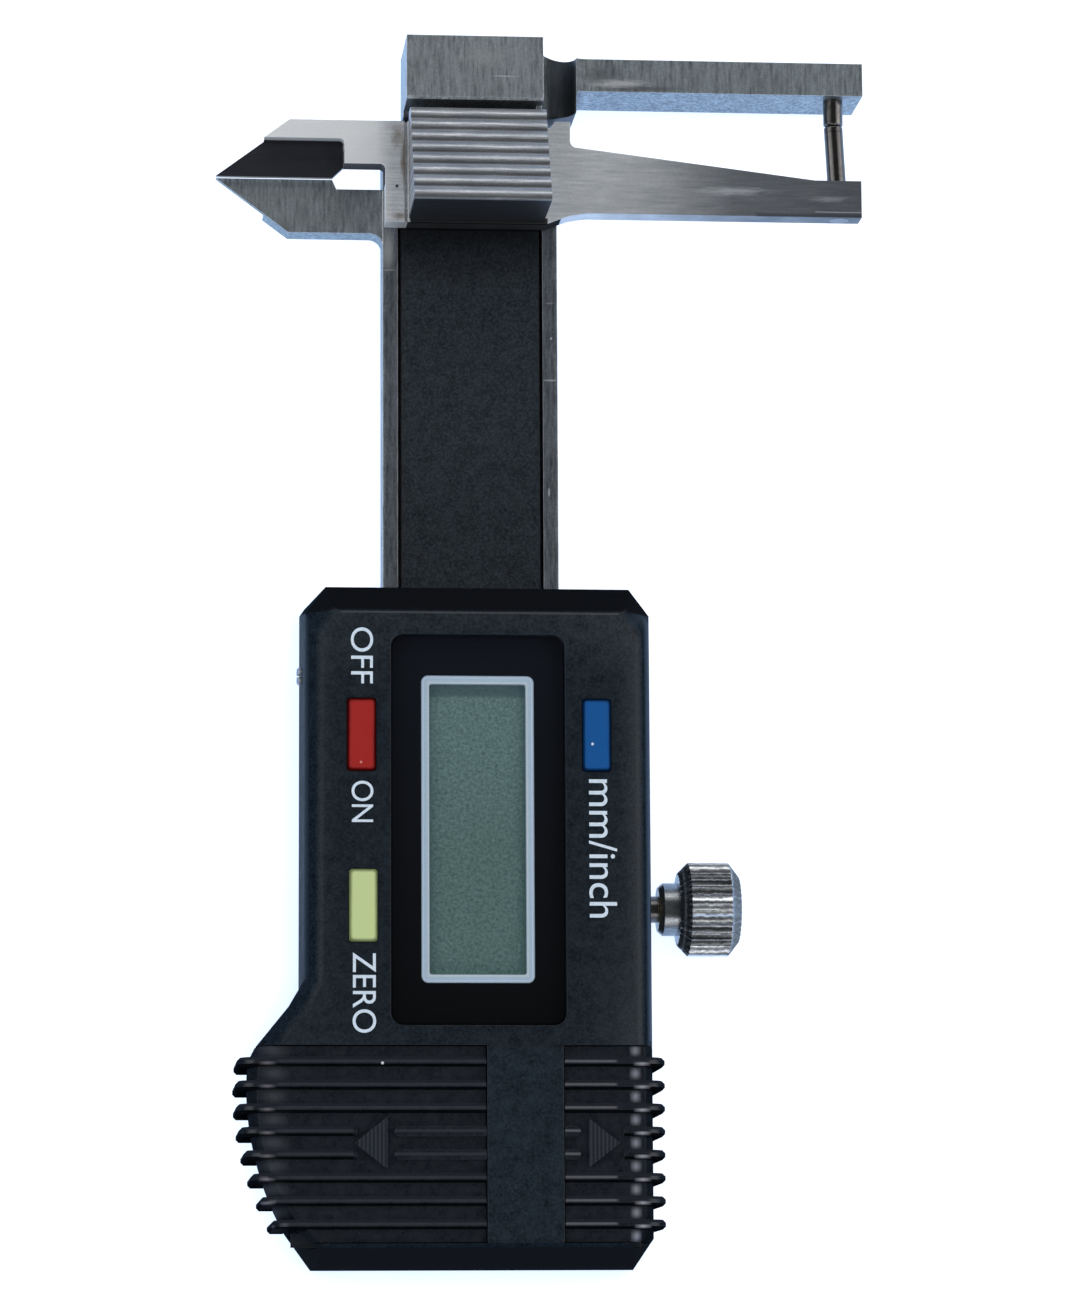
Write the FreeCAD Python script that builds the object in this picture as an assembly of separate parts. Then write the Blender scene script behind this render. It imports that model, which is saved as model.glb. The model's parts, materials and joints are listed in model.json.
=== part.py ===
"""Pocket thickness gauge, 0-25 mm, with display housing, sliding jaw and lock screw.

Millimetres. X runs across the gauge with 0 on the beam's centre line, Y runs along the beam
towards the jaws with 0 at the middle of the housing, and Z rises from the rear face at 0.
"""
import FreeCAD, Part

import math
import os

from FreeCAD import Vector

# ---- driving dimensions -------------------------------------------------------------------

# beam: a steel channel, open to the front
BEAM_WIDTH = 16.0
CHANNEL_WIDTH = 13.3
FRAME_BACK_Z = 2.1
WEB_FRONT_Z = 3.5
RAIL_FRONT_Z = 6.0
CHANNEL_LOW_Y = -27.0
CHANNEL_TOP_Y = 74.3

# head of the frame
BLOCK_LEFT_X = -6.1
BLOCK_RIGHT_X = 6.4
BLOCK_LOW_Y = 75.6
BLOCK_TOP_Y = 81.55
BLOCK_FRONT_Z = 11.0
NECK_LOW_Y = 75.1
NECK_RIGHT_X = 9.6
UPPER_ARM_LOW_Y = 77.05
UPPER_ARM_TOP_Y = 80.1
UPPER_ARM_FRONT_Z = 9.0
ARM_END_X = 36.1

# inside-measuring nibs
MEASURING_LINE_Y = 69.1
NIB_TIP_X = -23.3
NIB_HALF_HEIGHT = 4.97
NIB_SHOULDER_X = -16.65
NIB_ROOT_GAP = 0.95
NIB_BLADE = 0.65
LOWER_NIB_BACK_Z = 3.1
LOWER_NIB_FRONT_Z = 5.9

# sliding jaw plate
JAW_BACK_Z = 6.05
JAW_FRONT_Z = 8.5
JAW_LEFT_X = -7.9
JAW_LOW_Y = 64.65
RISER_TOP_Y = 74.25
RISER_RIGHT_X = 9.05
LOWER_ARM_LOW_Y = 65.7
LOWER_ARM_TIP_Y = 69.15
LOWER_ARM_END_X = 35.95

# anvil pins
PIN_X = 33.6
PIN_Z = 7.05
PIN_RADIUS = 0.9
PIN_MEETING_Y = 74.6
LOWER_PIN_RADIUS = 0.86
LOWER_PIN_ROOT = (34.06, 65.2, PIN_Z)
LOWER_PIN_TIP = (PIN_X, PIN_MEETING_Y - 0.03, PIN_Z)

# thumb pad
PAD_LEFT_X = -5.75
PAD_RIGHT_X = 6.65
PAD_LOW_Y = 64.95
PAD_TOP_Y = 75.0
PAD_TOP_Z = 11.0
PAD_CREST_Z = 16.7
PAD_RIBS = 8

# slide bar and its scale
BAR_WIDTH = 12.7
BAR_BACK_Z = 3.6
BAR_FRONT_Z = 5.75
BAR_LOW_Y = -1.0
BAR_TOP_Y = 74.75
SCALE_TOP_Y = 64.55
SCALE_THICKNESS = 0.2

# housing
HOUSING_HALF_LENGTH = 30.05
HOUSING_HALF_WIDTH = 15.35
HOUSING_FRONT_Z = 16.5
WALL = 1.5
FRONT_WALL_BACK_Z = 14.7
REAR_PLATE_THICKNESS = 2.1

# display
WINDOW_CENTRE = (-0.2, 8.15)
WINDOW_SIZE = (15.35, 34.5)
WINDOW_FRONT_Z = 16.4
WINDOW_THICKNESS = 1.2
LCD_CENTRE = (-0.15, 8.3)
LCD_FRAME_SIZE = (10.0, 27.25)
LCD_VIEW_SIZE = (8.6, 25.8)
LCD_FRONT_Z = 15.1

# buttons
BUTTON_SIZE = (2.5, 6.4)
BUTTON_FRONT_Z = 16.75
BUTTON_TRAVEL = 0.5
BUTTONS = {"button_on_off": (-10.5, 16.45), "button_zero": (-10.35, 1.35), "button_unit": (10.3, 16.5)}

# sliding covers at the lower end
COVER_TOP_Y = -10.95
COVER_LOW_Y = -28.0
COVER_SKIN_Z = 14.75
COVER_FACE_Z = 16.1
COVER_SIDE_LOW_Z = 4.0
BATTERY_COVER_RIGHT_X = 0.42
PORT_COVER_LEFT_X = 7.3
RIB_PITCH = 2.02
RIB_WIDTH = 0.85
FIRST_RIB_Y = -12.33
RIBS = 8
RIB_RISE = 0.42
RIB_SIDE_RISE = 0.95
RIB_BEVEL = 0.26
SHORT_RIBS = (3, 4)
COVER_WALL = 1.35
TONGUE_LOW_Z = 14.75
TONGUE_HEIGHT = 0.6
TONGUE_REACH = 0.4
PLAY = 0.08

# lock screw
LOCK_Y = 2.2
LOCK_Z = 4.7
KNOB_RADIUS = 4.23
KNOB_TEETH = 32
KNURL_DEPTH = 0.3
SCREW_TIP_X = 9.1
SCREW_SHANK_RADIUS = 1.2
COLLAR_LEFT_X = 16.9
COLLAR_RADIUS = 2.39
KNOB_LEFT_X = 18.7
KNOB_RIGHT_X = 24.25
BUSHING_RADIUS = 2.4
BUSHING_LEFT_X = 12.15
SHOE_RADIUS = 0.95
SHOE_TRAVEL = 0.25

# battery cell
CELL_RADIUS = 5.8
CELL_HEIGHT = 5.4
CELL_CENTRE = (-8.0, -19.45)
CELL_LOW_Z = 8.8

# gib strip that takes up the slide bar's side play
GIB_LEFT_X = -7.25
GIB_RIGHT_X = -6.42
GIB_LOW_Y = 2.0
GIB_TOP_Y = 27.0
GIB_SCREW_Y = 23.25
GIB_SCREW_RADIUS = 0.85

# countersunk screws of the back, the frame and the board
FRAME_SCREWS = [(0.0, -24.0), (0.0, -8.0)]
REAR_SCREWS = [(-12.0, 26.3), (12.0, 26.3), (-12.0, -26.5), (12.0, -26.5)]
BOARD_SCREWS = [(-12.0, 22.2), (12.0, -6.4)]
HEAD_RADIUS = 1.7
HEAD_DEPTH = 0.7
SHANK_RADIUS = 1.0
CROSS_HALF_LENGTH = 1.05
CROSS_HALF_WIDTH = 0.2
CROSS_DEPTH = 0.4
REAR_SCREW_LENGTH = 6.0
FRAME_SCREW_END_Z = 0.5
BOARD_SCREW_LENGTH = 4.5

# screws that hold the thumb pad and the jaw plate on the slide bar
PAD_SCREWS = [(0.4, 67.6), (0.4, 72.0)]
PAD_HEAD_RADIUS = 1.9
PAD_HEAD_DEPTH = 1.0
PAD_SHANK_RADIUS = 1.0
PAD_SCREW_TOP_Z = 11.2

# front edge of the housing: height, then how far the sides, the top end and the bottom end
# are pulled in at that height
FRONT_EDGE = [(13.5, 0.0, 0.0, 0.0), (15.3, 0.35, 1.45, 1.1), (16.2, 1.0, 2.25, 1.75),
              (HOUSING_FRONT_Z, 1.6, 2.6, 2.0)]
REAR_CORNER = (0.4, 0.6)
FRONT_CORNER = (1.8, 2.4)
GRIP_DRAFT = 0.6
# bulge on the left side: three points of its arc, from the lower end upwards
GRIP_ARC = [(-17.15, -26.85), (-19.75, -20.3), (-20.35, -12.2)]

# bosses, pockets and the board inside the housing
BOARD_BACK_Z = 6.1
BOARD_FRONT_Z = 7.1
BOARD_HALF_WIDTH = 13.6
BOARD_LOW_Y = -24.0
BOARD_TOP_Y = 24.1
POCKET_FLOOR_Z = 8.6
BATTERY_POCKET = (-14.2, -1.6, -25.7, -13.2)
PORT_POCKET = (8.6, 13.9, -23.2, -14.4)
REAR_POST_HALF = 1.8
BOARD_POST_HALF = 1.4
WINDOW_LEDGE = 1.15

# display glass and the rubber strips that feed it
LCD_GLASS_SIZE = (9.7, 27.0)
LCD_GLASS_THICKNESS = 1.4
LCD_FRAME_THICKNESS = 0.7
CONNECTOR_X = 3.3
CONNECTOR_WIDTH = 1.2

# switches under the buttons
SWITCH_TOP_Z = 8.3
STEM_LOW_Z = SWITCH_TOP_Z + BUTTON_TRAVEL + 0.1
SPRING_LOW_Z = 8.0
FLANGE_HEIGHT = 1.0


# ---- shape helpers ------------------------------------------------------------------------

def box(x0, x1, y0, y1, z0, z1):
    return Part.makeBox(x1 - x0, y1 - y0, z1 - z0, Vector(x0, y0, z0))


def rod(radius, start, end):
    """A round bar from one point to another."""
    a = Vector(*start)
    span = Vector(*end) - a
    return Part.makeCylinder(radius, span.Length, a, span)


def polygon_face(points):
    vectors = [Vector(*p) for p in points]
    return Part.Face(Part.makePolygon(vectors + vectors[:1]))


def prism(points, z0, z1):
    """A plan outline of straight sides, raised from z0 to z1."""
    face = polygon_face([(x, y, z0) for x, y in points])
    return face.extrude(Vector(0, 0, z1 - z0))


def rounded_block(centre, size, radius, z0, z1):
    """A block with upright rounded corners."""
    cx, cy = centre
    half_x = size[0] / 2
    half_y = size[1] / 2
    block = box(cx - half_x, cx + half_x, cy - half_y, cy + half_y, z0, z1)
    upright = [e for e in block.Edges if abs(e.tangentAt(e.FirstParameter).z) > 0.99]
    return block.makeFillet(radius, upright)


def upright_edges_at(shape, places, tolerance=0.05):
    """The edges parallel to Z that stand at the given plan points."""
    found = []
    for edge in shape.Edges:
        a = edge.Vertexes[0].Point
        b = edge.Vertexes[-1].Point
        if math.hypot(a.x - b.x, a.y - b.y) > tolerance:
            continue
        if any(math.hypot(a.x - x, a.y - y) < tolerance for x, y in places):
            found.append(edge)
    return found


def fuse(first, *others):
    return first.fuse(list(others)).removeSplitter()


def cut(first, *others):
    return first.cut(list(others))


def save(name, shape):
    """One STEP file for each sub-part, named after its node."""
    shape.exportStep("parts/%s.step" % name)
    facts = (name, len(shape.Solids), shape.Volume, shape.isValid())
    print("%-24s solids %d  volume %9.2f  valid %s" % facts)


# ---- frame: channel, block, neck, upper arm and lower nib ------------------------------------

def nib_outline(side):
    """Plan of a nib: side +1 lies above the measuring line and -1 below it."""
    root_x = -7.5
    blade_end_x = -12.65
    root_start_x = -11.65 if side > 0 else -12.25
    root_gap = NIB_ROOT_GAP if side > 0 else NIB_ROOT_GAP - 0.08
    line = MEASURING_LINE_Y + side * 0.01
    return [(NIB_TIP_X, line), (blade_end_x, line), (root_start_x, line + side * root_gap),
            (root_x, line + side * root_gap), (root_x, line + side * NIB_HALF_HEIGHT),
            (NIB_SHOULDER_X, line + side * NIB_HALF_HEIGHT)]


def nib_recess(side, z0, z1):
    """The ground hollow that leaves a thin blade along the measuring line."""
    land = 1.7
    end_x = -11.63
    slope = NIB_HALF_HEIGHT / (NIB_SHOULDER_X - NIB_TIP_X)
    top_y = MEASURING_LINE_Y + side * (NIB_HALF_HEIGHT - land)
    corner_x = NIB_TIP_X + (NIB_HALF_HEIGHT - land) / slope
    low_y = MEASURING_LINE_Y - side * 1.5
    outside_x = NIB_TIP_X - 2.0
    corner = (end_x, top_y)
    hollow = prism([(outside_x, low_y), (outside_x, MEASURING_LINE_Y + side * 0.4), (corner_x, top_y),
                    corner, (end_x, low_y)], z0, z1)
    return hollow.makeFillet(0.45, upright_edges_at(hollow, [corner]))


def neck_hollow():
    """The cutter that lowers the neck and sweeps up to the arm's front."""
    radius = UPPER_ARM_FRONT_Z - RAIL_FRONT_Z
    flat_end_x = BLOCK_RIGHT_X + 0.2
    centre_z = UPPER_ARM_FRONT_Z
    y = BLOCK_LOW_Y - 2.0
    top_z = UPPER_ARM_FRONT_Z + 1.0
    low_left = Vector(BLOCK_RIGHT_X, y, RAIL_FRONT_Z)
    start = Vector(flat_end_x, y, RAIL_FRONT_Z)
    middle = Vector(flat_end_x + radius * math.sin(math.pi / 4), y, centre_z - radius * math.cos(math.pi / 4))
    end = Vector(flat_end_x + radius, y, centre_z)
    high_right = Vector(end.x, y, top_z)
    high_left = Vector(BLOCK_RIGHT_X, y, top_z)
    edges = [Part.makeLine(low_left, start), Part.Arc(start, middle, end).toShape(),
             Part.makeLine(end, high_right), Part.makeLine(high_right, high_left),
             Part.makeLine(high_left, low_left)]
    return Part.Face(Part.Wire(edges)).extrude(Vector(0, 10.0, 0))


def upper_arm():
    """Arm and neck from one plan, with a hollow curve from the block down to the arm's top edge."""
    inside_x = BLOCK_RIGHT_X - 0.5
    sweep_end_x = 10.6
    sweep_drop = BLOCK_TOP_Y - 0.1 - UPPER_ARM_TOP_Y
    run = sweep_end_x - BLOCK_RIGHT_X
    radius = (run ** 2 + sweep_drop ** 2) / (2 * sweep_drop)
    half_turn = math.asin(run / radius) / 2
    z0 = FRAME_BACK_Z
    corner = Vector(BLOCK_RIGHT_X, UPPER_ARM_TOP_Y + sweep_drop, z0)
    middle = Vector(sweep_end_x - radius * math.sin(half_turn),
                    UPPER_ARM_TOP_Y + radius * (1 - math.cos(half_turn)), z0)
    landing = Vector(sweep_end_x, UPPER_ARM_TOP_Y, z0)
    rest = [landing, Vector(ARM_END_X, UPPER_ARM_TOP_Y, z0), Vector(ARM_END_X, UPPER_ARM_LOW_Y, z0),
            Vector(NECK_RIGHT_X, UPPER_ARM_LOW_Y, z0), Vector(NECK_RIGHT_X, NECK_LOW_Y, z0),
            Vector(inside_x, NECK_LOW_Y, z0), Vector(inside_x, corner.y, z0), corner]
    edges = [Part.Arc(corner, middle, landing).toShape()]
    edges += [Part.makeLine(a, b) for a, b in zip(rest, rest[1:])]
    arm = Part.Face(Part.Wire(edges)).extrude(Vector(0, 0, UPPER_ARM_FRONT_Z - z0))
    arm = arm.makeFillet(0.35, upright_edges_at(arm, [(NECK_RIGHT_X, UPPER_ARM_LOW_Y)]))
    return arm.cut(neck_hollow())


def main_frame():
    half = BEAM_WIDTH / 2
    channel = box(-half, half, CHANNEL_LOW_Y, CHANNEL_TOP_Y, FRAME_BACK_Z, RAIL_FRONT_Z)
    groove = box(-CHANNEL_WIDTH / 2, CHANNEL_WIDTH / 2, CHANNEL_LOW_Y - 1, CHANNEL_TOP_Y + 1,
                 WEB_FRONT_Z, RAIL_FRONT_Z + 1)
    channel = channel.cut(groove)
    block = box(BLOCK_LEFT_X, BLOCK_RIGHT_X, BLOCK_LOW_Y, BLOCK_TOP_Y, FRAME_BACK_Z, BLOCK_FRONT_Z)
    low_front = [e for e in block.Edges
                 if e.BoundBox.YMax < BLOCK_LOW_Y + 0.01 and e.BoundBox.ZMin > BLOCK_FRONT_Z - 0.01]
    block = block.makeChamfer(0.22, low_front)
    heel = box(BLOCK_LEFT_X, BLOCK_RIGHT_X, NECK_LOW_Y, BLOCK_LOW_Y + 0.5, FRAME_BACK_Z, RAIL_FRONT_Z)
    web_end = box(BLOCK_LEFT_X, BLOCK_RIGHT_X, CHANNEL_TOP_Y - 1, NECK_LOW_Y + 0.5, FRAME_BACK_Z, WEB_FRONT_Z)
    nib = prism(nib_outline(-1), LOWER_NIB_BACK_Z, LOWER_NIB_FRONT_Z)
    fillet_radius = 1.2
    nib_low_y = MEASURING_LINE_Y - 0.01 - NIB_HALF_HEIGHT
    root_fillet = box(-half - fillet_radius, -half + 0.5, nib_low_y - fillet_radius, nib_low_y + 0.5,
                      LOWER_NIB_BACK_Z, LOWER_NIB_FRONT_Z)
    root_fillet = root_fillet.cut(rod(fillet_radius, (-half - fillet_radius, nib_low_y - fillet_radius, 0),
                                      (-half - fillet_radius, nib_low_y - fillet_radius, 20)))
    nib = nib.fuse(root_fillet)
    nib = nib.cut(nib_recess(-1, LOWER_NIB_BACK_Z - 1, LOWER_NIB_FRONT_Z - NIB_BLADE))
    frame = fuse(channel, block, heel, web_end, upper_arm(), nib)
    # gib pocket and lock hole in the rails, inside the housing
    gib_pocket = box(GIB_LEFT_X, -CHANNEL_WIDTH / 2 + 0.2, GIB_LOW_Y, GIB_TOP_Y,
                     WEB_FRONT_Z, RAIL_FRONT_Z + 1)
    gib_hole = rod(GIB_SCREW_RADIUS, (-half - 1, GIB_SCREW_Y, LOCK_Z),
                   (GIB_LEFT_X + 0.2, GIB_SCREW_Y, LOCK_Z))
    shoe_hole = rod(SHOE_RADIUS + 0.05, (CHANNEL_WIDTH / 2 - 1, LOCK_Y, LOCK_Z), (half + 1, LOCK_Y, LOCK_Z))
    screw_holes = [screw_seat(x, y, WEB_FRONT_Z, -1) for x, y in FRAME_SCREWS]
    pin_hole = rod(PIN_RADIUS, (PIN_X, PIN_MEETING_Y, PIN_Z), (PIN_X, UPPER_ARM_LOW_Y + 2.0, PIN_Z))
    return cut(frame, gib_pocket, gib_hole, shoe_hole, pin_hole, *screw_holes)


# ---- fasteners ------------------------------------------------------------------------------

def screw_head(x, y, face_z, direction):
    """The cone of a countersunk head whose flat face lies at face_z."""
    return Part.makeCone(HEAD_RADIUS, SHANK_RADIUS, HEAD_DEPTH, Vector(x, y, face_z), Vector(0, 0, direction))


def screw_seat(x, y, face_z, direction):
    """Countersunk hole; direction is the way that its screw points."""
    hole = rod(SHANK_RADIUS, (x, y, face_z), (x, y, face_z + direction * 3.0))
    return screw_head(x, y, face_z, direction).fuse(hole)


def countersunk_screw(x, y, face_z, length, direction):
    """Flat-headed screw with a cross recess; direction is the way that its shank points."""
    shank = rod(SHANK_RADIUS, (x, y, face_z + direction * HEAD_DEPTH), (x, y, face_z + direction * length))
    low, high = sorted((face_z - direction, face_z + direction * CROSS_DEPTH))
    a = CROSS_HALF_LENGTH
    b = CROSS_HALF_WIDTH
    cross = box(x - a, x + a, y - b, y + b, low, high).fuse(box(x - b, x + b, y - a, y + a, low, high))
    return screw_head(x, y, face_z, direction).fuse(shank).cut(cross)


def screw_group(places, face_z, length, direction):
    return Part.makeCompound([countersunk_screw(x, y, face_z, length, direction) for x, y in places])


# ---- gib, its screw and the lock --------------------------------------------------------------

def gib_strip():
    return box(GIB_LEFT_X, GIB_RIGHT_X, GIB_LOW_Y + 0.1, GIB_TOP_Y - 0.1, WEB_FRONT_Z + 0.1, BAR_FRONT_Z)


def gib_screw():
    end_x = -HOUSING_HALF_WIDTH - 0.4
    screw = rod(GIB_SCREW_RADIUS, (end_x, GIB_SCREW_Y, LOCK_Z), (GIB_LEFT_X, GIB_SCREW_Y, LOCK_Z))
    outer = [e for e in screw.Edges if abs(e.CenterOfMass.x - end_x) < 0.01]
    screw = screw.makeChamfer(0.2, outer)
    slot = box(end_x - 1, end_x + 0.45, GIB_SCREW_Y - 0.15, GIB_SCREW_Y + 0.15, LOCK_Z - 2, LOCK_Z + 2)
    return screw.cut(slot)


def lock_shoe():
    """Brass plug that the lock screw pushes against the slide bar's edge."""
    tip_x = BAR_WIDTH / 2 + SHOE_TRAVEL + 0.05
    return rod(SHOE_RADIUS, (tip_x, LOCK_Y, LOCK_Z), (SCREW_TIP_X - 0.1, LOCK_Y, LOCK_Z))


def knurl_section(x, radius):
    """Star-shaped section of the knob at one place along its axis."""
    points = []
    for i in range(2 * KNOB_TEETH):
        reach = radius * (1 - KNURL_DEPTH / KNOB_RADIUS * (i % 2))
        angle = math.pi * i / KNOB_TEETH
        points.append(Vector(x, LOCK_Y + reach * math.cos(angle), LOCK_Z + reach * math.sin(angle)))
    return Part.makePolygon(points + points[:1])


def lock_screw():
    """Turned in one piece: shank, collar and a straight-knurled knob with bevelled ends."""
    stations = [(SCREW_TIP_X, SCREW_SHANK_RADIUS), (COLLAR_LEFT_X, SCREW_SHANK_RADIUS),
                (COLLAR_LEFT_X, COLLAR_RADIUS - 0.4), (COLLAR_LEFT_X + 0.45, COLLAR_RADIUS),
                (KNOB_LEFT_X + 0.5, COLLAR_RADIUS)]
    ring = [(x, LOCK_Y + r, LOCK_Z) for x, r in stations]
    ring = [(stations[0][0], LOCK_Y, LOCK_Z)] + ring + [(stations[-1][0], LOCK_Y, LOCK_Z)]
    turned = polygon_face(ring).revolve(Vector(0, LOCK_Y, LOCK_Z), Vector(1, 0, 0), 360)
    bevel = 0.95
    left_x = KNOB_LEFT_X + bevel
    right_x = KNOB_RIGHT_X - bevel
    rim = knurl_section(left_x, KNOB_RADIUS)
    knob = Part.Face(rim).extrude(Vector(right_x - left_x, 0, 0))
    left_end = Part.makeLoft([knurl_section(KNOB_LEFT_X, KNOB_RADIUS - bevel), rim], True, True)
    face = knurl_section(KNOB_RIGHT_X, KNOB_RADIUS - 1.3 * bevel)
    right_end = Part.makeLoft([knurl_section(right_x, KNOB_RADIUS), face], True, True)
    return turned.fuse([knob, left_end, right_end]).removeSplitter()


def lock_bushing():
    """Threaded brass bush in the housing's side wall."""
    bush = rod(BUSHING_RADIUS, (BUSHING_LEFT_X, LOCK_Y, LOCK_Z), (HOUSING_HALF_WIDTH + 0.15, LOCK_Y, LOCK_Z))
    return bush.cut(rod(SCREW_SHANK_RADIUS + 0.05, (0, LOCK_Y, LOCK_Z), (30, LOCK_Y, LOCK_Z)))


# ---- slider -------------------------------------------------------------------------------------

def slide_bar():
    half = BAR_WIDTH / 2
    bar = box(-half, half, BAR_LOW_Y, BAR_TOP_Y, BAR_BACK_Z, BAR_FRONT_Z)
    seat = box(-half + 0.2, half - 0.2, JAW_LOW_Y + 0.1, BAR_TOP_Y - 0.6, BAR_FRONT_Z, JAW_BACK_Z)
    bar = bar.fuse(seat)
    holes = []
    for x, y in PAD_SCREWS:
        holes.append(rod(PAD_HEAD_RADIUS, (x, y, BAR_BACK_Z - 1), (x, y, BAR_BACK_Z + PAD_HEAD_DEPTH)))
        holes.append(rod(PAD_SHANK_RADIUS, (x, y, BAR_BACK_Z), (x, y, JAW_BACK_Z + 1)))
    return cut(bar, *holes)


def scale_strip():
    half = BAR_WIDTH / 2 - 0.05
    return box(-half, half, BAR_LOW_Y + 0.2, SCALE_TOP_Y, BAR_FRONT_Z, BAR_FRONT_Z + SCALE_THICKNESS)


def jaw_plate_outline():
    """Plan of the jaw plate between the upper nib's root and the end of the lower arm."""
    throat_y = LOWER_ARM_TIP_Y + 2.78
    flat_start_x = 31.65
    return [(JAW_LEFT_X, MEASURING_LINE_Y + 0.96), (JAW_LEFT_X, JAW_LOW_Y), (6.9, JAW_LOW_Y), (7.6, 64.95),
            (9.0, 65.45), (10.6, LOWER_ARM_LOW_Y), (LOWER_ARM_END_X, LOWER_ARM_LOW_Y),
            (LOWER_ARM_END_X, LOWER_ARM_TIP_Y), (flat_start_x, LOWER_ARM_TIP_Y), (RISER_RIGHT_X, throat_y),
            (RISER_RIGHT_X, RISER_TOP_Y), (7.65, RISER_TOP_Y), (7.2, 73.65), (PAD_RIGHT_X - 1, 73.65),
            (PAD_RIGHT_X - 1, MEASURING_LINE_Y + NIB_HALF_HEIGHT + 0.01),
            (JAW_LEFT_X, MEASURING_LINE_Y + NIB_HALF_HEIGHT + 0.01)]


def slider_jaw():
    outline = jaw_plate_outline()
    plate = prism(outline, JAW_BACK_Z, JAW_FRONT_Z)
    throat = (RISER_RIGHT_X, LOWER_ARM_TIP_Y + 2.78)
    plate = plate.makeFillet(0.6, upright_edges_at(plate, [throat]))
    nib = prism(nib_outline(1), JAW_BACK_Z, JAW_FRONT_Z)
    nib = nib.cut(nib_recess(1, JAW_BACK_Z + NIB_BLADE, JAW_FRONT_Z + 1))
    # rounded inner corner between the nib's root and the strip
    corner_radius = 0.5
    corner = (JAW_LEFT_X, MEASURING_LINE_Y + 0.01 + NIB_ROOT_GAP)
    round_corner = box(corner[0] - corner_radius, corner[0] + 0.1, corner[1] - corner_radius, corner[1] + 0.1,
                       JAW_BACK_Z, JAW_FRONT_Z)
    axis_x = corner[0] - corner_radius
    axis_y = corner[1] - corner_radius
    round_corner = round_corner.cut(rod(corner_radius, (axis_x, axis_y, 0), (axis_x, axis_y, 20)))
    jaw = fuse(plate, nib, round_corner)
    groove = box(PAD_LEFT_X - 0.4, PAD_LEFT_X - 0.12, JAW_LOW_Y - 1, 76, JAW_FRONT_Z - 0.5, JAW_FRONT_Z + 1)
    holes = [rod(PAD_SHANK_RADIUS, (x, y, 0), (x, y, 20)) for x, y in PAD_SCREWS]
    pin_hole = rod(LOWER_PIN_RADIUS, LOWER_PIN_ROOT, LOWER_PIN_TIP)
    return cut(jaw, groove, pin_hole, *holes)


def thumb_pad():
    """Wedge that rises towards the user's thumb, with rounded cross ribs on its slope."""
    foot_y = PAD_LOW_Y
    slope_low_y = PAD_LOW_Y + 0.25
    run = PAD_TOP_Y - slope_low_y
    rise = PAD_CREST_Z - PAD_TOP_Z
    pitch = 1.0 / PAD_RIBS
    along = Vector(0, -run, rise)
    normal = Vector(0, rise, run).normalize()
    start = Vector(PAD_LEFT_X, PAD_TOP_Y, PAD_TOP_Z)
    depth = 0.34
    base = JAW_FRONT_Z
    edges = []
    corners = [Vector(PAD_LEFT_X, foot_y, base), Vector(PAD_LEFT_X, PAD_TOP_Y, base), start - normal * depth]
    edges += [Part.makeLine(a, b) for a, b in zip(corners, corners[1:])]
    here = corners[-1]
    for i in range(PAD_RIBS):
        rib_end = start + along * ((i + 1) * pitch) - normal * depth
        crest = start + along * ((i + 0.5) * pitch) - normal * 0.02
        edges.append(Part.Arc(here, crest, rib_end).toShape())
        here = rib_end
    foot_top = Vector(PAD_LEFT_X, foot_y, here.z - 0.3)
    edges.append(Part.makeLine(here, foot_top))
    edges.append(Part.makeLine(foot_top, corners[0]))
    pad = Part.Face(Part.Wire(edges)).extrude(Vector(PAD_RIGHT_X - PAD_LEFT_X, 0, 0))
    holes = [rod(PAD_SHANK_RADIUS, (x, y, 0), (x, y, PAD_SCREW_TOP_Z + 0.1)) for x, y in PAD_SCREWS]
    return cut(pad, *holes)


def thumb_pad_screws():
    screws = []
    for x, y in PAD_SCREWS:
        head_low = BAR_BACK_Z + 0.05
        head = rod(PAD_HEAD_RADIUS, (x, y, head_low), (x, y, BAR_BACK_Z + PAD_HEAD_DEPTH))
        shank = rod(PAD_SHANK_RADIUS, (x, y, BAR_BACK_Z + PAD_HEAD_DEPTH), (x, y, PAD_SCREW_TOP_Z))
        slot = box(x - 3, x + 3, y - 0.25, y + 0.25, head_low - 1, head_low + 0.5)
        screws.append(head.fuse(shank).cut(slot))
    return Part.makeCompound(screws)


def anvil_pin(radius, root, tip):
    """Hardened pin with an eased measuring end."""
    pin = rod(radius, root, tip)
    end = [e for e in pin.Edges if e.CenterOfMass.distanceToPoint(Vector(*tip)) < 0.01]
    return pin.makeChamfer(0.12, end)


def upper_anvil_pin():
    return anvil_pin(PIN_RADIUS, (PIN_X, UPPER_ARM_LOW_Y + 2.0, PIN_Z), (PIN_X, PIN_MEETING_Y + 0.01, PIN_Z))


def lower_anvil_pin():
    """Set right through the lower arm, leaning slightly towards the beam."""
    pin = anvil_pin(LOWER_PIN_RADIUS, LOWER_PIN_ROOT, LOWER_PIN_TIP)
    return pin.common(box(30, 40, LOWER_ARM_LOW_Y, PIN_MEETING_Y, 0, 20))


# ---- housing ----------------------------------------------------------------------------------------

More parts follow.
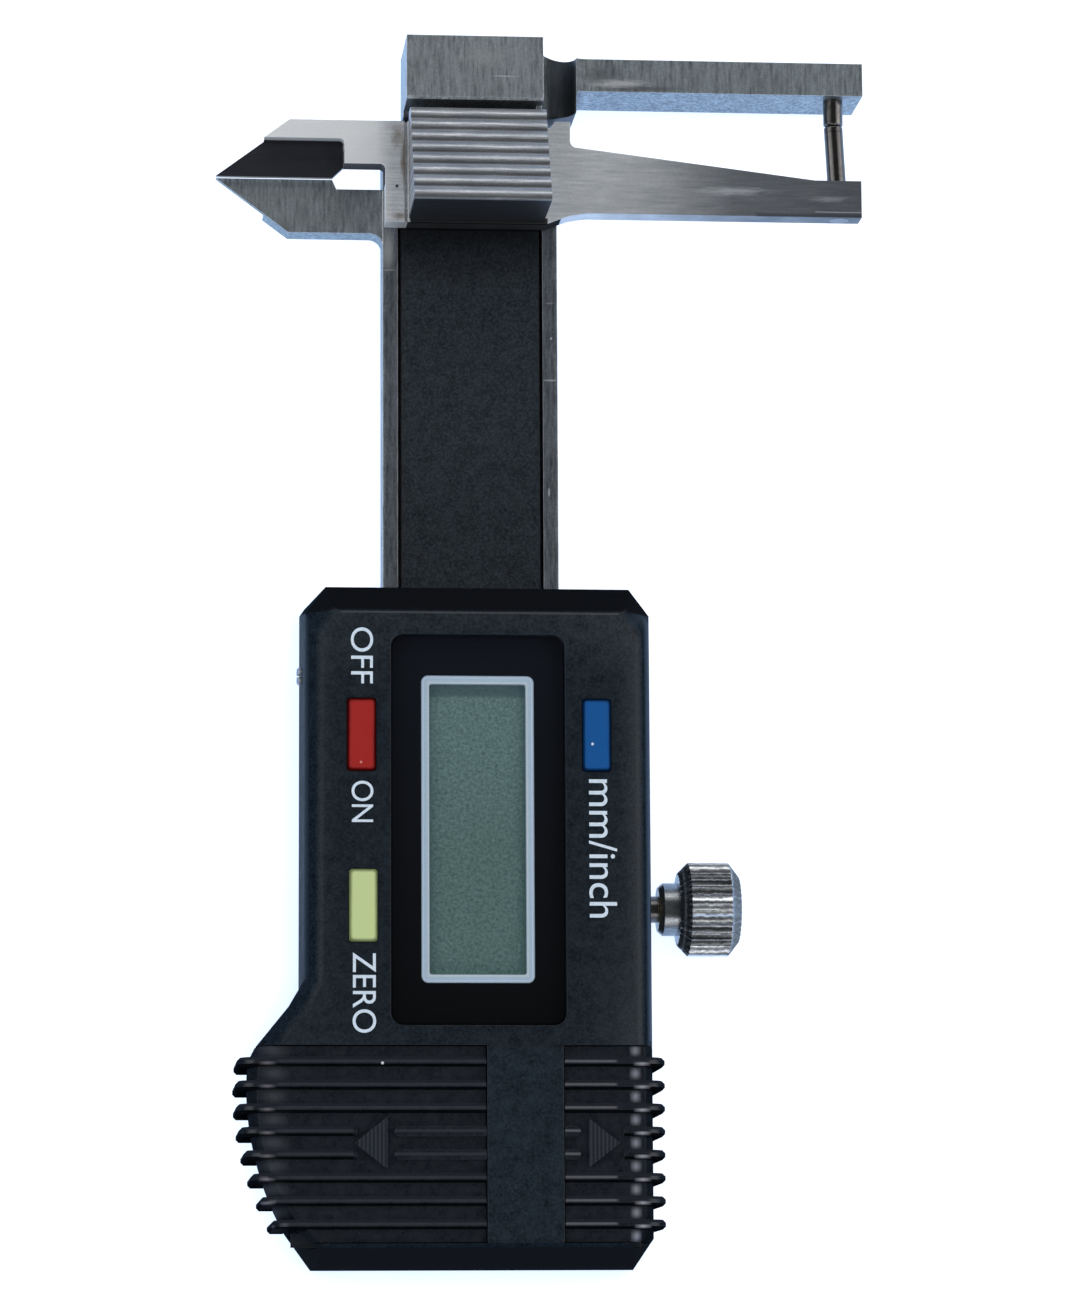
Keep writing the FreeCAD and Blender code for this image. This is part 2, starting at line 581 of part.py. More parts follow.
def housing_wire(z, corner, grip_x=0.0, side=0.0, top=0.0, bottom=0.0):
    """Plan of the housing at one height; side, top and bottom pull its edges inwards."""
    w = HOUSING_HALF_WIDTH - side
    y1 = HOUSING_HALF_LENGTH - top
    y0 = -HOUSING_HALF_LENGTH + bottom
    across, along = corner
    grip = [(x + grip_x + side, y) for x, y in GRIP_ARC]
    start = (-14.25 + side * 0.7, y0)
    grip[0] = (grip[0][0], grip[0][1] + bottom * 0.5)
    after = [grip[2], (-19.75 + grip_x + side, -11.0 - side * 0.4), (-16.75 + side, -7.3 - side * 0.5),
             (-w, -4.9 - side * 0.4), (-w, y1 - along), (-w + across, y1), (w - across, y1), (w, y1 - along),
             (w, y0 + along), (w - across, y0), start]
    edges = [Part.makeLine(Vector(*start, z), Vector(*grip[0], z))]
    edges.append(Part.Arc(*[Vector(x, y, z) for x, y in grip]).toShape())
    points = [Vector(x, y, z) for x, y in after]
    edges += [Part.makeLine(a, b) for a, b in zip(points, points[1:])]
    return Part.Wire(edges)


def housing_body(pull=0.0):
    """The outer form, with its front edge rounded off; pull makes a smaller copy."""
    sections = [housing_wire(0.0, REAR_CORNER, grip_x=GRIP_DRAFT, side=pull, top=pull, bottom=pull)]
    for z, side, top, bottom in FRONT_EDGE:
        corner = (FRONT_CORNER[0] - 0.3 * side, FRONT_CORNER[1])
        sections.append(housing_wire(z - pull, corner, side=side + pull, top=top + pull,
                                     bottom=bottom + pull))
    return Part.makeLoft(sections, True, True)


def cover_zone(side, play=0.0):
    """Space of a sliding cover: side -1 is the battery cover and +1 the data port cover."""
    if side < 0:
        x0, x1 = -30.0, BATTERY_COVER_RIGHT_X + play
    else:
        x0, x1 = PORT_COVER_LEFT_X - play, 30.0
    return box(x0, x1, COVER_LOW_Y - play, COVER_TOP_Y + play, COVER_SIDE_LOW_Z - play, 20.0)


def cover_tongues(side, play=0.0):
    """Guides on both ends of a cover, which run in grooves of the housing along X."""
    if side < 0:
        x0, x1 = (-30.0, BATTERY_COVER_RIGHT_X) if play else (-16.6, BATTERY_COVER_RIGHT_X - 0.4)
    else:
        x0, x1 = (PORT_COVER_LEFT_X, 30.0) if play else (PORT_COVER_LEFT_X + 0.4, 14.0)
    z0 = TONGUE_LOW_Z - play
    z1 = TONGUE_LOW_Z + TONGUE_HEIGHT + play
    reach = TONGUE_REACH + play
    return [box(x0, x1, COVER_LOW_Y - reach, COVER_LOW_Y + 0.8, z0, z1),
            box(x0, x1, COVER_TOP_Y - 0.8, COVER_TOP_Y + reach, z0, z1)]


def rib_profile(x_inner, x_side, rise, y):
    """Section of a rib that runs along the front, round the edge and down the side."""
    sign = 1 if x_side > x_inner else -1
    top = COVER_FACE_Z + rise
    bend = 1.9
    low = COVER_SIDE_LOW_Z + 0.6
    depth = 1.0
    half = math.sqrt(0.5)
    outer_arc = Part.Arc(Vector(x_side - sign * bend, y, top),
                         Vector(x_side - sign * bend * (1 - half), y, top - bend * (1 - half)),
                         Vector(x_side, y, top - bend)).toShape()
    root_x = x_side - sign * depth * 1.4
    corners = [Vector(x_side, y, top - bend), Vector(x_side, y, low), Vector(root_x, y, low),
               Vector(root_x, y, top - bend), Vector(x_side - sign * bend, y, top - depth),
               Vector(x_inner, y, top - depth), Vector(x_inner, y, top), Vector(x_side - sign * bend, y, top)]
    edges = [outer_arc] + [Part.makeLine(a, b) for a, b in zip(corners, corners[1:])]
    return Part.Face(Part.Wire(edges))


def wrapped_rib(x_inner, x_side, y, rise):
    """A rib with bevelled outer edges."""
    rib = rib_profile(x_inner, x_side, rise, y - RIB_WIDTH / 2).extrude(Vector(0, RIB_WIDTH, 0))
    top = COVER_FACE_Z + rise
    outer = []
    for edge in rib.Edges:
        middle = edge.valueAt((edge.FirstParameter + edge.LastParameter) / 2)
        on_face = abs(abs(middle.y - y) - RIB_WIDTH / 2) < 0.01
        on_front = abs(middle.z - top) < 0.01
        on_side = abs(middle.x - x_side) < 0.01 and middle.z < top - 1
        on_bend = edge.Curve.TypeId == "Part::GeomCircle"
        if on_face and (on_front or on_side or on_bend):
            outer.append(edge)
    return rib.makeChamfer(RIB_BEVEL, outer)


def bar_rib(square_x, round_x, y, rise):
    """A short rib on the front, with a round end beside the arrow."""
    half = RIB_WIDTH / 2
    z0 = COVER_FACE_Z - 0.3
    z1 = COVER_FACE_Z + rise
    centre_x = round_x - math.copysign(half, round_x - square_x)
    body = box(min(square_x, centre_x), max(square_x, centre_x), y - half, y + half, z0, z1)
    return fuse(body, rod(half, (centre_x, y, z0), (centre_x, y, z1)))


def grip_x_at(y):
    """Left edge of the bulge at a height along the housing, from the arc through its three points."""
    (x1, y1), (x2, y2), (x3, y3) = GRIP_ARC
    a = (x3 - x2) / (y3 - y2)
    b = (x2 - x1) / (y2 - y1)
    c = (a - b) / (y3 - y1)
    return x1 + b * (y - y1) + c * (y - y1) * (y - y2)


def arrow(points):
    """Raised triangle that shows which way a cover slides."""
    return prism(points, COVER_FACE_Z - 0.3, COVER_FACE_Z + RIB_RISE)


def cover_shell(side):
    shell = housing_body().common(cover_zone(side)).common(box(-40, 40, -40, 40, 0, COVER_FACE_Z))
    shell = shell.cut(housing_body(COVER_WALL).common(box(-40, 40, -40, 40, 0, COVER_SKIN_Z)))
    return shell


def rib_places():
    return [FIRST_RIB_Y - RIB_PITCH * i for i in range(RIBS)]


def battery_cover():
    pieces = []
    for i, y in enumerate(rib_places()):
        x_side = grip_x_at(y) - RIB_SIDE_RISE
        if i in SHORT_RIBS:
            pieces.append(wrapped_rib(-10.9, x_side, y, RIB_RISE))
            pieces.append(bar_rib(BATTERY_COVER_RIGHT_X - 0.02, -7.6, y, RIB_RISE))
        else:
            pieces.append(wrapped_rib(BATTERY_COVER_RIGHT_X - 0.02, x_side, y, RIB_RISE))
    middle_y = sum(rib_places()[i] for i in SHORT_RIBS) / 2
    pieces.append(arrow([(-11.1, middle_y), (-8.25, middle_y - 2.25), (-8.25, middle_y + 2.25)]))
    pieces += cover_tongues(-1)
    return fuse(cover_shell(-1), *pieces)


def data_port_cover():
    pieces = []
    x_side = HOUSING_HALF_WIDTH + RIB_SIDE_RISE
    for i, y in enumerate(rib_places()):
        if i in SHORT_RIBS:
            pieces.append(bar_rib(PORT_COVER_LEFT_X + 0.02, 8.65, y, RIB_RISE))
            pieces.append(wrapped_rib(12.5, x_side, y, RIB_RISE))
        else:
            pieces.append(wrapped_rib(PORT_COVER_LEFT_X + 0.02, x_side, y, RIB_RISE))
    middle_y = sum(rib_places()[i] for i in SHORT_RIBS) / 2
    pieces.append(arrow([(12.15, middle_y), (9.45, middle_y - 2.1), (9.45, middle_y + 2.1)]))
    pieces += cover_tongues(1)
    return fuse(cover_shell(1), *pieces)


def button_opening(centre, play):
    return rounded_block(centre, (BUTTON_SIZE[0] + 2 * play, BUTTON_SIZE[1] + 2 * play), 0.3, 10.0, 20.0)


def post(x, y, half, low_z):
    """Square post that hangs from the front wall and takes a screw."""
    return box(x - half, x + half, y - half, y + half, low_z, FRONT_WALL_BACK_Z + 0.1)


def front_housing():
    split_z = REAR_PLATE_THICKNESS
    inner_x = HOUSING_HALF_WIDTH - WALL
    inner_top_y = HOUSING_HALF_LENGTH - WALL
    shell = housing_body().common(box(-40, 40, -40, 40, split_z, 20))
    main_hollow = box(-inner_x, inner_x, -9.4, inner_top_y, split_z - 1, FRONT_WALL_BACK_Z)
    board_hollow = box(-inner_x, inner_x, BOARD_LOW_Y - 0.2, -9.0, split_z - 1, BOARD_FRONT_Z + 0.2)
    half = BEAM_WIDTH / 2 + 0.05
    beam_slot = box(-half, half, CHANNEL_LOW_Y - 0.1, 40, split_z - 1, RAIL_FRONT_Z + 0.05)
    window_seat = rounded_block(WINDOW_CENTRE, (WINDOW_SIZE[0] + 0.1, WINDOW_SIZE[1] + 0.1), 1.15,
                                WINDOW_FRONT_Z - WINDOW_THICKNESS, 20)
    hole_size = (WINDOW_SIZE[0] - 2 * WINDOW_LEDGE, WINDOW_SIZE[1] - 2 * WINDOW_LEDGE)
    window_hole = rounded_block(WINDOW_CENTRE, hole_size, 0.8, 10, 20)
    shell = cut(shell, main_hollow, board_hollow, beam_slot, window_seat, window_hole)
    # posts for the rear screws and for the board
    bosses = [post(x, y, REAR_POST_HALF, split_z) for x, y in REAR_SCREWS[:2]]
    bosses += [post(x, y, BOARD_POST_HALF, BOARD_FRONT_Z) for x, y in BOARD_SCREWS]
    inside = housing_body(0.5)
    shell = shell.fuse([boss.common(inside) for boss in bosses])
    core = housing_body(COVER_WALL + PLAY).common(box(-40, 40, -40, 40, 0, COVER_SKIN_Z - PLAY))
    openings = [cover_zone(side, PLAY).cut(core) for side in (-1, 1)]
    openings += cover_tongues(-1, PLAY) + cover_tongues(1, PLAY)
    x0, x1, y0, y1 = BATTERY_POCKET
    openings.append(box(x0, x1, y0, y1, POCKET_FLOOR_Z, 20))
    openings.append(box(-8.6, -7.4, -15.3, -14.7, BOARD_FRONT_Z - 1, POCKET_FLOOR_Z + 1))
    openings.append(box(-1.95, -1.6, -23.3, -22.1, BOARD_FRONT_Z - 1, POCKET_FLOOR_Z + 1))
    x0, x1, y0, y1 = PORT_POCKET
    openings.append(box(x0, x1, y0, y1, BOARD_FRONT_Z - 1, 20))
    openings += [button_opening(centre, 0.06) for centre in BUTTONS.values()]
    openings += [rod(SHANK_RADIUS, (x, y, split_z - 1), (x, y, REAR_SCREW_LENGTH + 0.5))
                 for x, y in REAR_SCREWS]
    openings += [rod(SHANK_RADIUS, (x, y, BOARD_BACK_Z), (x, y, BOARD_BACK_Z + BOARD_SCREW_LENGTH + 0.5))
                 for x, y in BOARD_SCREWS]
    openings.append(rod(BUSHING_RADIUS, (BUSHING_LEFT_X, LOCK_Y, LOCK_Z), (30, LOCK_Y, LOCK_Z)))
    openings.append(rod(GIB_SCREW_RADIUS, (-30, GIB_SCREW_Y, LOCK_Z), (-10, GIB_SCREW_Y, LOCK_Z)))
    return cut(shell, *openings).removeSplitter()


def rear_plate():
    """Steel back: the gauge rests on it, and the beam lies against its inner face."""
    plate = housing_body().common(box(-40, 40, -40, 40, 0, REAR_PLATE_THICKNESS))
    low = [e for e in plate.Edges if e.BoundBox.ZMax < 0.01]
    plate = plate.makeChamfer(0.4, low)
    seats = [screw_seat(x, y, 0, 1) for x, y in REAR_SCREWS]
    seats += [rod(SHANK_RADIUS, (x, y, FRAME_SCREW_END_Z), (x, y, 5)) for x, y in FRAME_SCREWS]
    return cut(plate, *seats)


def rear_plate_screws():
    return screw_group(REAR_SCREWS, 0.0, REAR_SCREW_LENGTH, 1)


def frame_screws():
    return screw_group(FRAME_SCREWS, WEB_FRONT_Z, WEB_FRONT_Z - FRAME_SCREW_END_Z, -1)


def board_screws():
    return screw_group(BOARD_SCREWS, BOARD_BACK_Z, BOARD_SCREW_LENGTH, 1)


# ---- display and electronics ----------------------------------------------------------------------

def display_window():
    window = rounded_block(WINDOW_CENTRE, WINDOW_SIZE, 1.1, WINDOW_FRONT_Z - WINDOW_THICKNESS, WINDOW_FRONT_Z)
    rim = [e for e in window.Edges if e.BoundBox.ZMin > WINDOW_FRONT_Z - 0.01]
    return window.makeChamfer(0.15, rim)


def lcd_frame():
    z1 = LCD_FRONT_Z
    z0 = z1 - LCD_FRAME_THICKNESS
    frame = rounded_block(LCD_CENTRE, LCD_FRAME_SIZE, 0.6, z0, z1)
    return frame.cut(rounded_block(LCD_CENTRE, LCD_VIEW_SIZE, 0.25, z0 - 1, z1 + 1))


def lcd_block(size, z0, z1):
    """A plain block on the display's centre."""
    cx, cy = LCD_CENTRE
    return box(cx - size[0] / 2, cx + size[0] / 2, cy - size[1] / 2, cy + size[1] / 2, z0, z1)


def lcd_panel():
    z1 = LCD_FRONT_Z - LCD_FRAME_THICKNESS
    return lcd_block(LCD_GLASS_SIZE, z1 - LCD_GLASS_THICKNESS, z1)


def lcd_holder():
    """Black tray under the window: it stands on the board and carries the display glass."""
    size = (WINDOW_SIZE[0] - 2 * WINDOW_LEDGE - 0.15, WINDOW_SIZE[1] - 2 * WINDOW_LEDGE - 0.15)
    frame_low_z = LCD_FRONT_Z - LCD_FRAME_THICKNESS
    holder = rounded_block(WINDOW_CENTRE, size, 0.7, BOARD_FRONT_Z, LCD_FRONT_Z)
    seat_size = (LCD_FRAME_SIZE[0] + 0.04, LCD_FRAME_SIZE[1] + 0.04)
    seat = rounded_block(LCD_CENTRE, seat_size, 0.6, frame_low_z, 20)
    glass_size = (LCD_GLASS_SIZE[0] + 0.04, LCD_GLASS_SIZE[1] + 0.04)
    glass_seat = lcd_block(glass_size, frame_low_z - LCD_GLASS_THICKNESS, 20)
    shaft = lcd_block((2 * CONNECTOR_X + CONNECTOR_WIDTH + 0.1, 24.4), 0, 20)
    return cut(holder, seat, glass_seat, shaft)


def lcd_connectors():
    glass_low_z = LCD_FRONT_Z - LCD_FRAME_THICKNESS - LCD_GLASS_THICKNESS
    cx, cy = LCD_CENTRE
    half = CONNECTOR_WIDTH / 2
    strips = [box(cx + x - half, cx + x + half, cy - 11.5, cy + 11.5, BOARD_FRONT_Z, glass_low_z)
              for x in (-CONNECTOR_X, CONNECTOR_X)]
    return Part.makeCompound(strips)


def circuit_board():
    board = box(-BOARD_HALF_WIDTH, BOARD_HALF_WIDTH, BOARD_LOW_Y, BOARD_TOP_Y, BOARD_BACK_Z, BOARD_FRONT_Z)
    seats = [screw_seat(x, y, BOARD_BACK_Z, 1) for x, y in BOARD_SCREWS]
    room = BUSHING_RADIUS + 0.2
    bushing_notch = box(BUSHING_LEFT_X - 0.25, 20, LOCK_Y - room, LOCK_Y + room, 0, 20)
    return cut(board, bushing_notch, *seats)


def controller_chip():
    """Display driver, mounted between the two rubber strips."""
    return box(-2.4, 2.3, 3.0, 8.0, BOARD_FRONT_Z, BOARD_FRONT_Z + 1.0)


def button_switches():
    """A press switch with a square plunger under each button."""
    switches = []
    for x, y in BUTTONS.values():
        base = box(x - 1.6, x + 1.6, y - 2.2, y + 2.2, BOARD_FRONT_Z, SPRING_LOW_Z)
        plunger = box(x - 0.9, x + 0.9, y - 1.1, y + 1.1, BOARD_FRONT_Z, SWITCH_TOP_Z)
        switches.append(base.fuse(plunger))
    return Part.makeCompound(switches)


def button(centre):
    """Cap with a softened rim, a flange that stops it under the front wall, and a stem."""
    x, y = centre
    cap = rounded_block(centre, BUTTON_SIZE, 0.3, FRONT_WALL_BACK_Z - 0.5, BUTTON_FRONT_Z)
    rim = [e for e in cap.Edges if e.BoundBox.ZMin > BUTTON_FRONT_Z - 0.01]
    cap = cap.makeChamfer(0.2, rim)
    flange_top_z = FRONT_WALL_BACK_Z - 0.02
    half_x = BUTTON_SIZE[0] / 2 + 0.4
    half_y = BUTTON_SIZE[1] / 2 + 0.4
    flange = box(x - half_x, x + half_x, y - half_y, y + half_y, flange_top_z - FLANGE_HEIGHT, flange_top_z)
    stem = box(x - 0.8, x + 0.8, y - 1.2, y + 1.2, STEM_LOW_Z, flange_top_z - FLANGE_HEIGHT)
    return fuse(cap, flange, stem)


def button_spring(centre):
    """Rubber sleeve that lifts a button off its switch."""
    x, y = centre
    top_z = FRONT_WALL_BACK_Z - 0.02 - FLANGE_HEIGHT
    sleeve = box(x - 1.5, x + 1.5, y - 2.1, y + 2.1, SPRING_LOW_Z, top_z)
    return sleeve.cut(box(x - 1.15, x + 1.15, y - 1.6, y + 1.6, 0, 20))


def battery():
    x, y = CELL_CENTRE
    cell = rod(CELL_RADIUS, (x, y, CELL_LOW_Z), (x, y, CELL_LOW_Z + CELL_HEIGHT))
    return cell.makeChamfer(0.3, [e for e in cell.Edges if e.BoundBox.ZLength < 0.01])


def battery_contact_minus():
    plate = box(-10.2, -5.8, -23.6, -14.7, POCKET_FLOOR_Z, CELL_LOW_Z)
    leg = box(-8.5, -7.5, -15.2, -14.8, BOARD_FRONT_Z, POCKET_FLOOR_Z + 0.1)
    return fuse(plate, leg)


def battery_contact_plus():
    """Bowed spring strip at the side of the cell."""
    cell_x = CELL_CENTRE[0] + CELL_RADIUS
    wall_x = BATTERY_POCKET[1]
    y = CELL_CENTRE[1]
    reach = 3.6
    thickness = 0.2
    faces = []
    for shift in (0.0, thickness):
        faces.append([Vector(wall_x - thickness + shift, y - reach, POCKET_FLOOR_Z),
                      Vector(cell_x + shift, y, POCKET_FLOOR_Z),
                      Vector(wall_x - thickness + shift, y + reach, POCKET_FLOOR_Z)])
    outline = [Part.Arc(*faces[0]).toShape(), Part.makeLine(faces[0][2], faces[1][2]),
               Part.Arc(*faces[1]).toShape(), Part.makeLine(faces[1][0], faces[0][0])]
    strip = Part.Face(Part.Wire(Part.sortEdges(outline)[0])).extrude(Vector(0, 0, 4.6))
    leg = box(wall_x - thickness, wall_x, y - reach, y - reach + 0.9, BOARD_FRONT_Z, POCKET_FLOOR_Z + 4.0)
    return fuse(strip, leg)


def data_port_contacts():
    pads = []
    for i in range(4):
        x = PORT_POCKET[0] + 0.7 + i * 1.2
        pads.append(box(x, x + 0.6, -22.0, -16.0, BOARD_FRONT_Z, BOARD_FRONT_Z + 0.3))
    return Part.makeCompound(pads)


PARTS = [main_frame, upper_anvil_pin, front_housing, rear_plate, rear_plate_screws, frame_screws,
         board_screws, display_window, lcd_frame, lcd_panel, lcd_holder, lcd_connectors,
         circuit_board, controller_chip, button_switches, battery, battery_contact_plus,
         battery_contact_minus, data_port_contacts, gib_strip, gib_screw, lock_bushing, lock_screw,
         lock_shoe, slide_bar, scale_strip, slider_jaw, thumb_pad, thumb_pad_screws,
         lower_anvil_pin, battery_cover, data_port_cover]

if __name__ == "__main__":
    os.makedirs("parts", exist_ok=True)
    for make in PARTS:
        save(make.__name__, make())
    for name, centre in BUTTONS.items():
        save(name, button(centre))
        save(name.replace("button", "spring"), button_spring(centre))
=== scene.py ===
import json
import math

import bmesh
import bpy
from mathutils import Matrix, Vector

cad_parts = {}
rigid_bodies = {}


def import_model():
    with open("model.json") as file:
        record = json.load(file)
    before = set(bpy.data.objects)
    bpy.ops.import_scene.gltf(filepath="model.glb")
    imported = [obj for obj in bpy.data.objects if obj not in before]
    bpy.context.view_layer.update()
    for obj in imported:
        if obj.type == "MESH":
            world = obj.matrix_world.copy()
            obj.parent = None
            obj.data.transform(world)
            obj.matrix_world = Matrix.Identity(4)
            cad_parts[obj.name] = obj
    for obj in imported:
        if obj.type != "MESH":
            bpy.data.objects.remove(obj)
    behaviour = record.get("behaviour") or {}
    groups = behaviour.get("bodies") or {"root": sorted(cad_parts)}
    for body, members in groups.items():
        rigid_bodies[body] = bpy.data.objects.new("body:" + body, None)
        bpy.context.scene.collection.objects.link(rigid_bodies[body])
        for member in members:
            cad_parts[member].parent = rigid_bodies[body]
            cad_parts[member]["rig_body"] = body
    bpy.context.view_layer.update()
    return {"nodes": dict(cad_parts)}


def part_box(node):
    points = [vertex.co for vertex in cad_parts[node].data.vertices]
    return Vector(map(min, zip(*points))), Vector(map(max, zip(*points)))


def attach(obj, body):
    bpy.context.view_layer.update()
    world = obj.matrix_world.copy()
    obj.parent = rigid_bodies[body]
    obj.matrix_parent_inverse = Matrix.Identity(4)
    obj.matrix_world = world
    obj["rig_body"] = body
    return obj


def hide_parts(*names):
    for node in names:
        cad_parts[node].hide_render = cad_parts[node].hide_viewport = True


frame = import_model()
MM = 0.001


# ---- Camera --------------------------------------------------------------------------------------
# It stands over the lower left of the gauge and looks down at the display side, a little
# from the left and from below, at just under half a metre.

camera_data = bpy.data.cameras.new("camera")
camera_data.sensor_width = 36.0
camera_data.lens = 138.89
camera_data.clip_start = 0.01
camera_data.clip_end = 20.0
camera = bpy.data.objects.new("camera", camera_data)
camera.location = Vector((-34.012, -41.394, 452.66)) * MM
camera.rotation_euler = [math.radians(a) for a in (8.553, -5.108, -0.294)]
bpy.context.scene.collection.objects.link(camera)
bpy.context.scene.camera = camera
bpy.context.scene.view_settings.view_transform = "Standard"


# ---- Floor and light -----------------------------------------------------------------------------
# A white light table: it glows softly bluish into the side faces and leaves hardly any shadow.
# Soft boxes stand on all four sides, and the room overhead is dim.

def add(tree, kind, inputs=None, **settings):
    """A shader or geometry node; inputs takes values or sockets by name or by number."""
    made = tree.nodes.new(kind)
    for key, value in settings.items():
        setattr(made, key, value)
    for key, value in (inputs or {}).items():
        if isinstance(value, bpy.types.NodeSocket):
            tree.links.new(value, made.inputs[key])
        else:
            made.inputs[key].default_value = value
    return made


def remap(tree, value, low, high, to_low=0.0, to_high=1.0, **settings):
    """A value moved from one range into another."""
    return add(tree, "ShaderNodeMapRange", {"Value": value, "From Min": low, "From Max": high,
                                            "To Min": to_low, "To Max": to_high}, **settings).outputs[0]


def mesh_object(name, mesh):
    """A mesh as an object in the scene, at the origin."""
    made = bpy.data.objects.new(name, mesh)
    bpy.context.scene.collection.objects.link(made)
    return made


def light_table():
    """A flat sheet that glows white to the camera and bluish onto the gauge, with painted bluish shade round
    the gauge.
    """
    half_width = 1.6
    bm = bmesh.new()
    bmesh.ops.create_grid(bm, x_segments=1, y_segments=1, size=half_width)
    mesh = bpy.data.meshes.new("light_table")
    bm.to_mesh(mesh)
    bm.free()
    table = mesh_object("light_table", mesh)
    table.location = (0.0, 0.0, -0.05 * MM)
    material = bpy.data.materials.new("light_table")
    material.use_nodes = True
    tree = material.node_tree
    tree.nodes.clear()
    path = add(tree, "ShaderNodeLightPath")
    # Close round the gauge the glow turns a deeper blue: painted shade on the sheet.
    near = add(tree, "ShaderNodeAmbientOcclusion", {"Distance": 3.0 * MM}, samples=8)
    halo = add(tree, "ShaderNodeMix", {0: near.outputs["AO"], 6: (0.50, 0.70, 0.98, 1.0),
                                       7: (1.0, 1.0, 1.0, 1.0)}, data_type="RGBA")
    seen = add(tree, "ShaderNodeMix", {0: path.outputs["Is Camera Ray"], 6: (0.56, 0.76, 1.10, 1.0),
                                       7: halo.outputs[2]}, data_type="RGBA")
    glow = add(tree, "ShaderNodeEmission", {"Color": seen.outputs[2], "Strength": 0.98})
    matt = add(tree, "ShaderNodeBsdfDiffuse", {"Color": (0.30, 0.42, 0.62, 1.0)})
    both = add(tree, "ShaderNodeAddShader", {0: glow.outputs[0], 1: matt.outputs[0]})
    add(tree, "ShaderNodeOutputMaterial", {"Surface": both.outputs[0]})
    mesh.materials.append(material)


def soft_box(name, place, size, power, colour):
    """A rectangular lamp that faces the gauge."""
    data = bpy.data.lights.new(name, "AREA")
    data.shape = "RECTANGLE"
    data.size = size[0]
    data.size_y = size[1]
    data.energy = power
    data.color = colour
    lamp = bpy.data.objects.new(name, data)
    lamp.location = place
    lamp.rotation_euler = (Vector((0.0, 0.02, 0.0)) - Vector(place)).to_track_quat("-Z", "Y").to_euler()
    bpy.context.scene.collection.objects.link(lamp)


def surroundings():
    """Dim overhead and brighter towards the horizon."""
    world = bpy.data.worlds.new("surroundings")
    world.use_nodes = True
    tree = world.node_tree
    coords = add(tree, "ShaderNodeTexCoord")
    parts = add(tree, "ShaderNodeSeparateXYZ", {0: coords.outputs["Generated"]})
    strength = remap(tree, parts.outputs["Z"], 0.15, 0.9, 0.55, 0.1, interpolation_type="SMOOTHSTEP")
    background = tree.nodes["Background"]
    background.inputs["Color"].default_value = (0.86, 0.92, 1.0, 1.0)
    tree.links.new(strength, background.inputs["Strength"])
    bpy.context.scene.world = world


light_table()
soft_box("soft_box_left", (-0.62, 0.05, 0.42), (0.35, 0.7), 2.4, (0.93, 0.96, 1.0))
soft_box("soft_box_right", (0.62, 0.1, 0.42), (0.35, 0.7), 2.4, (0.95, 0.97, 1.0))
soft_box("soft_box_top", (0.0, 0.62, 0.42), (0.8, 0.35), 1.4, (1.0, 1.0, 1.0))
soft_box("soft_box_low", (0.05, -0.6, 0.4), (0.8, 0.35), 1.6, (0.95, 0.97, 1.0))
surroundings()


# ---- Main frame ----------------------------------------------------------------------------------
# One ground steel piece: the channel beam, the head block, the upper arm and the lower nib.
# Each flat keeps the lines of its own grinding, with grit, blotches, stains and rubbed edges;
# the neck's hollow is darkened with painted shade.

def group(name, inputs, outputs):
    """A shader node group with named inputs and outputs, and its two end nodes."""
    tree = bpy.data.node_groups.new(name, "ShaderNodeTree")
    for label, kind, value in inputs:
        made = tree.interface.new_socket(name=label, in_out="INPUT", socket_type=kind)
        if value is not None:
            made.default_value = value
    for label, kind in outputs:
        tree.interface.new_socket(name=label, in_out="OUTPUT", socket_type=kind)
    return tree, tree.nodes.new("NodeGroupInput"), tree.nodes.new("NodeGroupOutput")


def calc(tree, operation, *values, **settings):
    """A sum on numbers or sockets."""
    return add(tree, "ShaderNodeMath", dict(enumerate(values)), operation=operation, **settings).outputs[0]


def vector_calc(tree, operation, *values):
    """A sum on vectors: it gives a vector, or a number for a length or a dot product."""
    made = add(tree, "ShaderNodeVectorMath", dict(enumerate(values)), operation=operation)
    return made.outputs["Value" if operation in ("LENGTH", "DOT_PRODUCT") else "Vector"]


def noise(tree, vector, scale, detail, roughness=0.5):
    """Cloudy noise, from 0 to 1."""
    return add(tree, "ShaderNodeTexNoise", {"Vector": vector, "Scale": scale, "Detail": detail,
                                            "Roughness": roughness}).outputs["Fac"]


def ground_lines_group():
    """Streaks along one direction, grit over them and slow blotches."""
    tree, start, end = group("ground_lines",
                             [("Vector", "NodeSocketVector", None),
                              ("Stretch", "NodeSocketVector", (300.0, 9000.0, 300.0)),
                              ("Blotch Size", "NodeSocketFloat", 260.0),
                              ("Grit Size", "NodeSocketFloat", 4200.0)],
                             [("Lines", "NodeSocketFloat"), ("Grit", "NodeSocketFloat"),
                              ("Blotches", "NodeSocketFloat")])
    stretched = vector_calc(tree, "MULTIPLY", start.outputs["Vector"], start.outputs["Stretch"])
    lines = noise(tree, stretched, 1.0, 5.0, 0.65)
    sharp = remap(tree, lines, 0.28, 0.72)
    grit = noise(tree, start.outputs["Vector"], start.outputs["Grit Size"], 4.0, 0.7)
    rough = remap(tree, grit, 0.3, 0.7)
    blotches = noise(tree, start.outputs["Vector"], start.outputs["Blotch Size"], 5.0)
    spread = remap(tree, blotches, 0.3, 0.7)
    tree.links.new(sharp, end.inputs["Lines"])
    tree.links.new(rough, end.inputs["Grit"])
    tree.links.new(spread, end.inputs["Blotches"])
    return tree


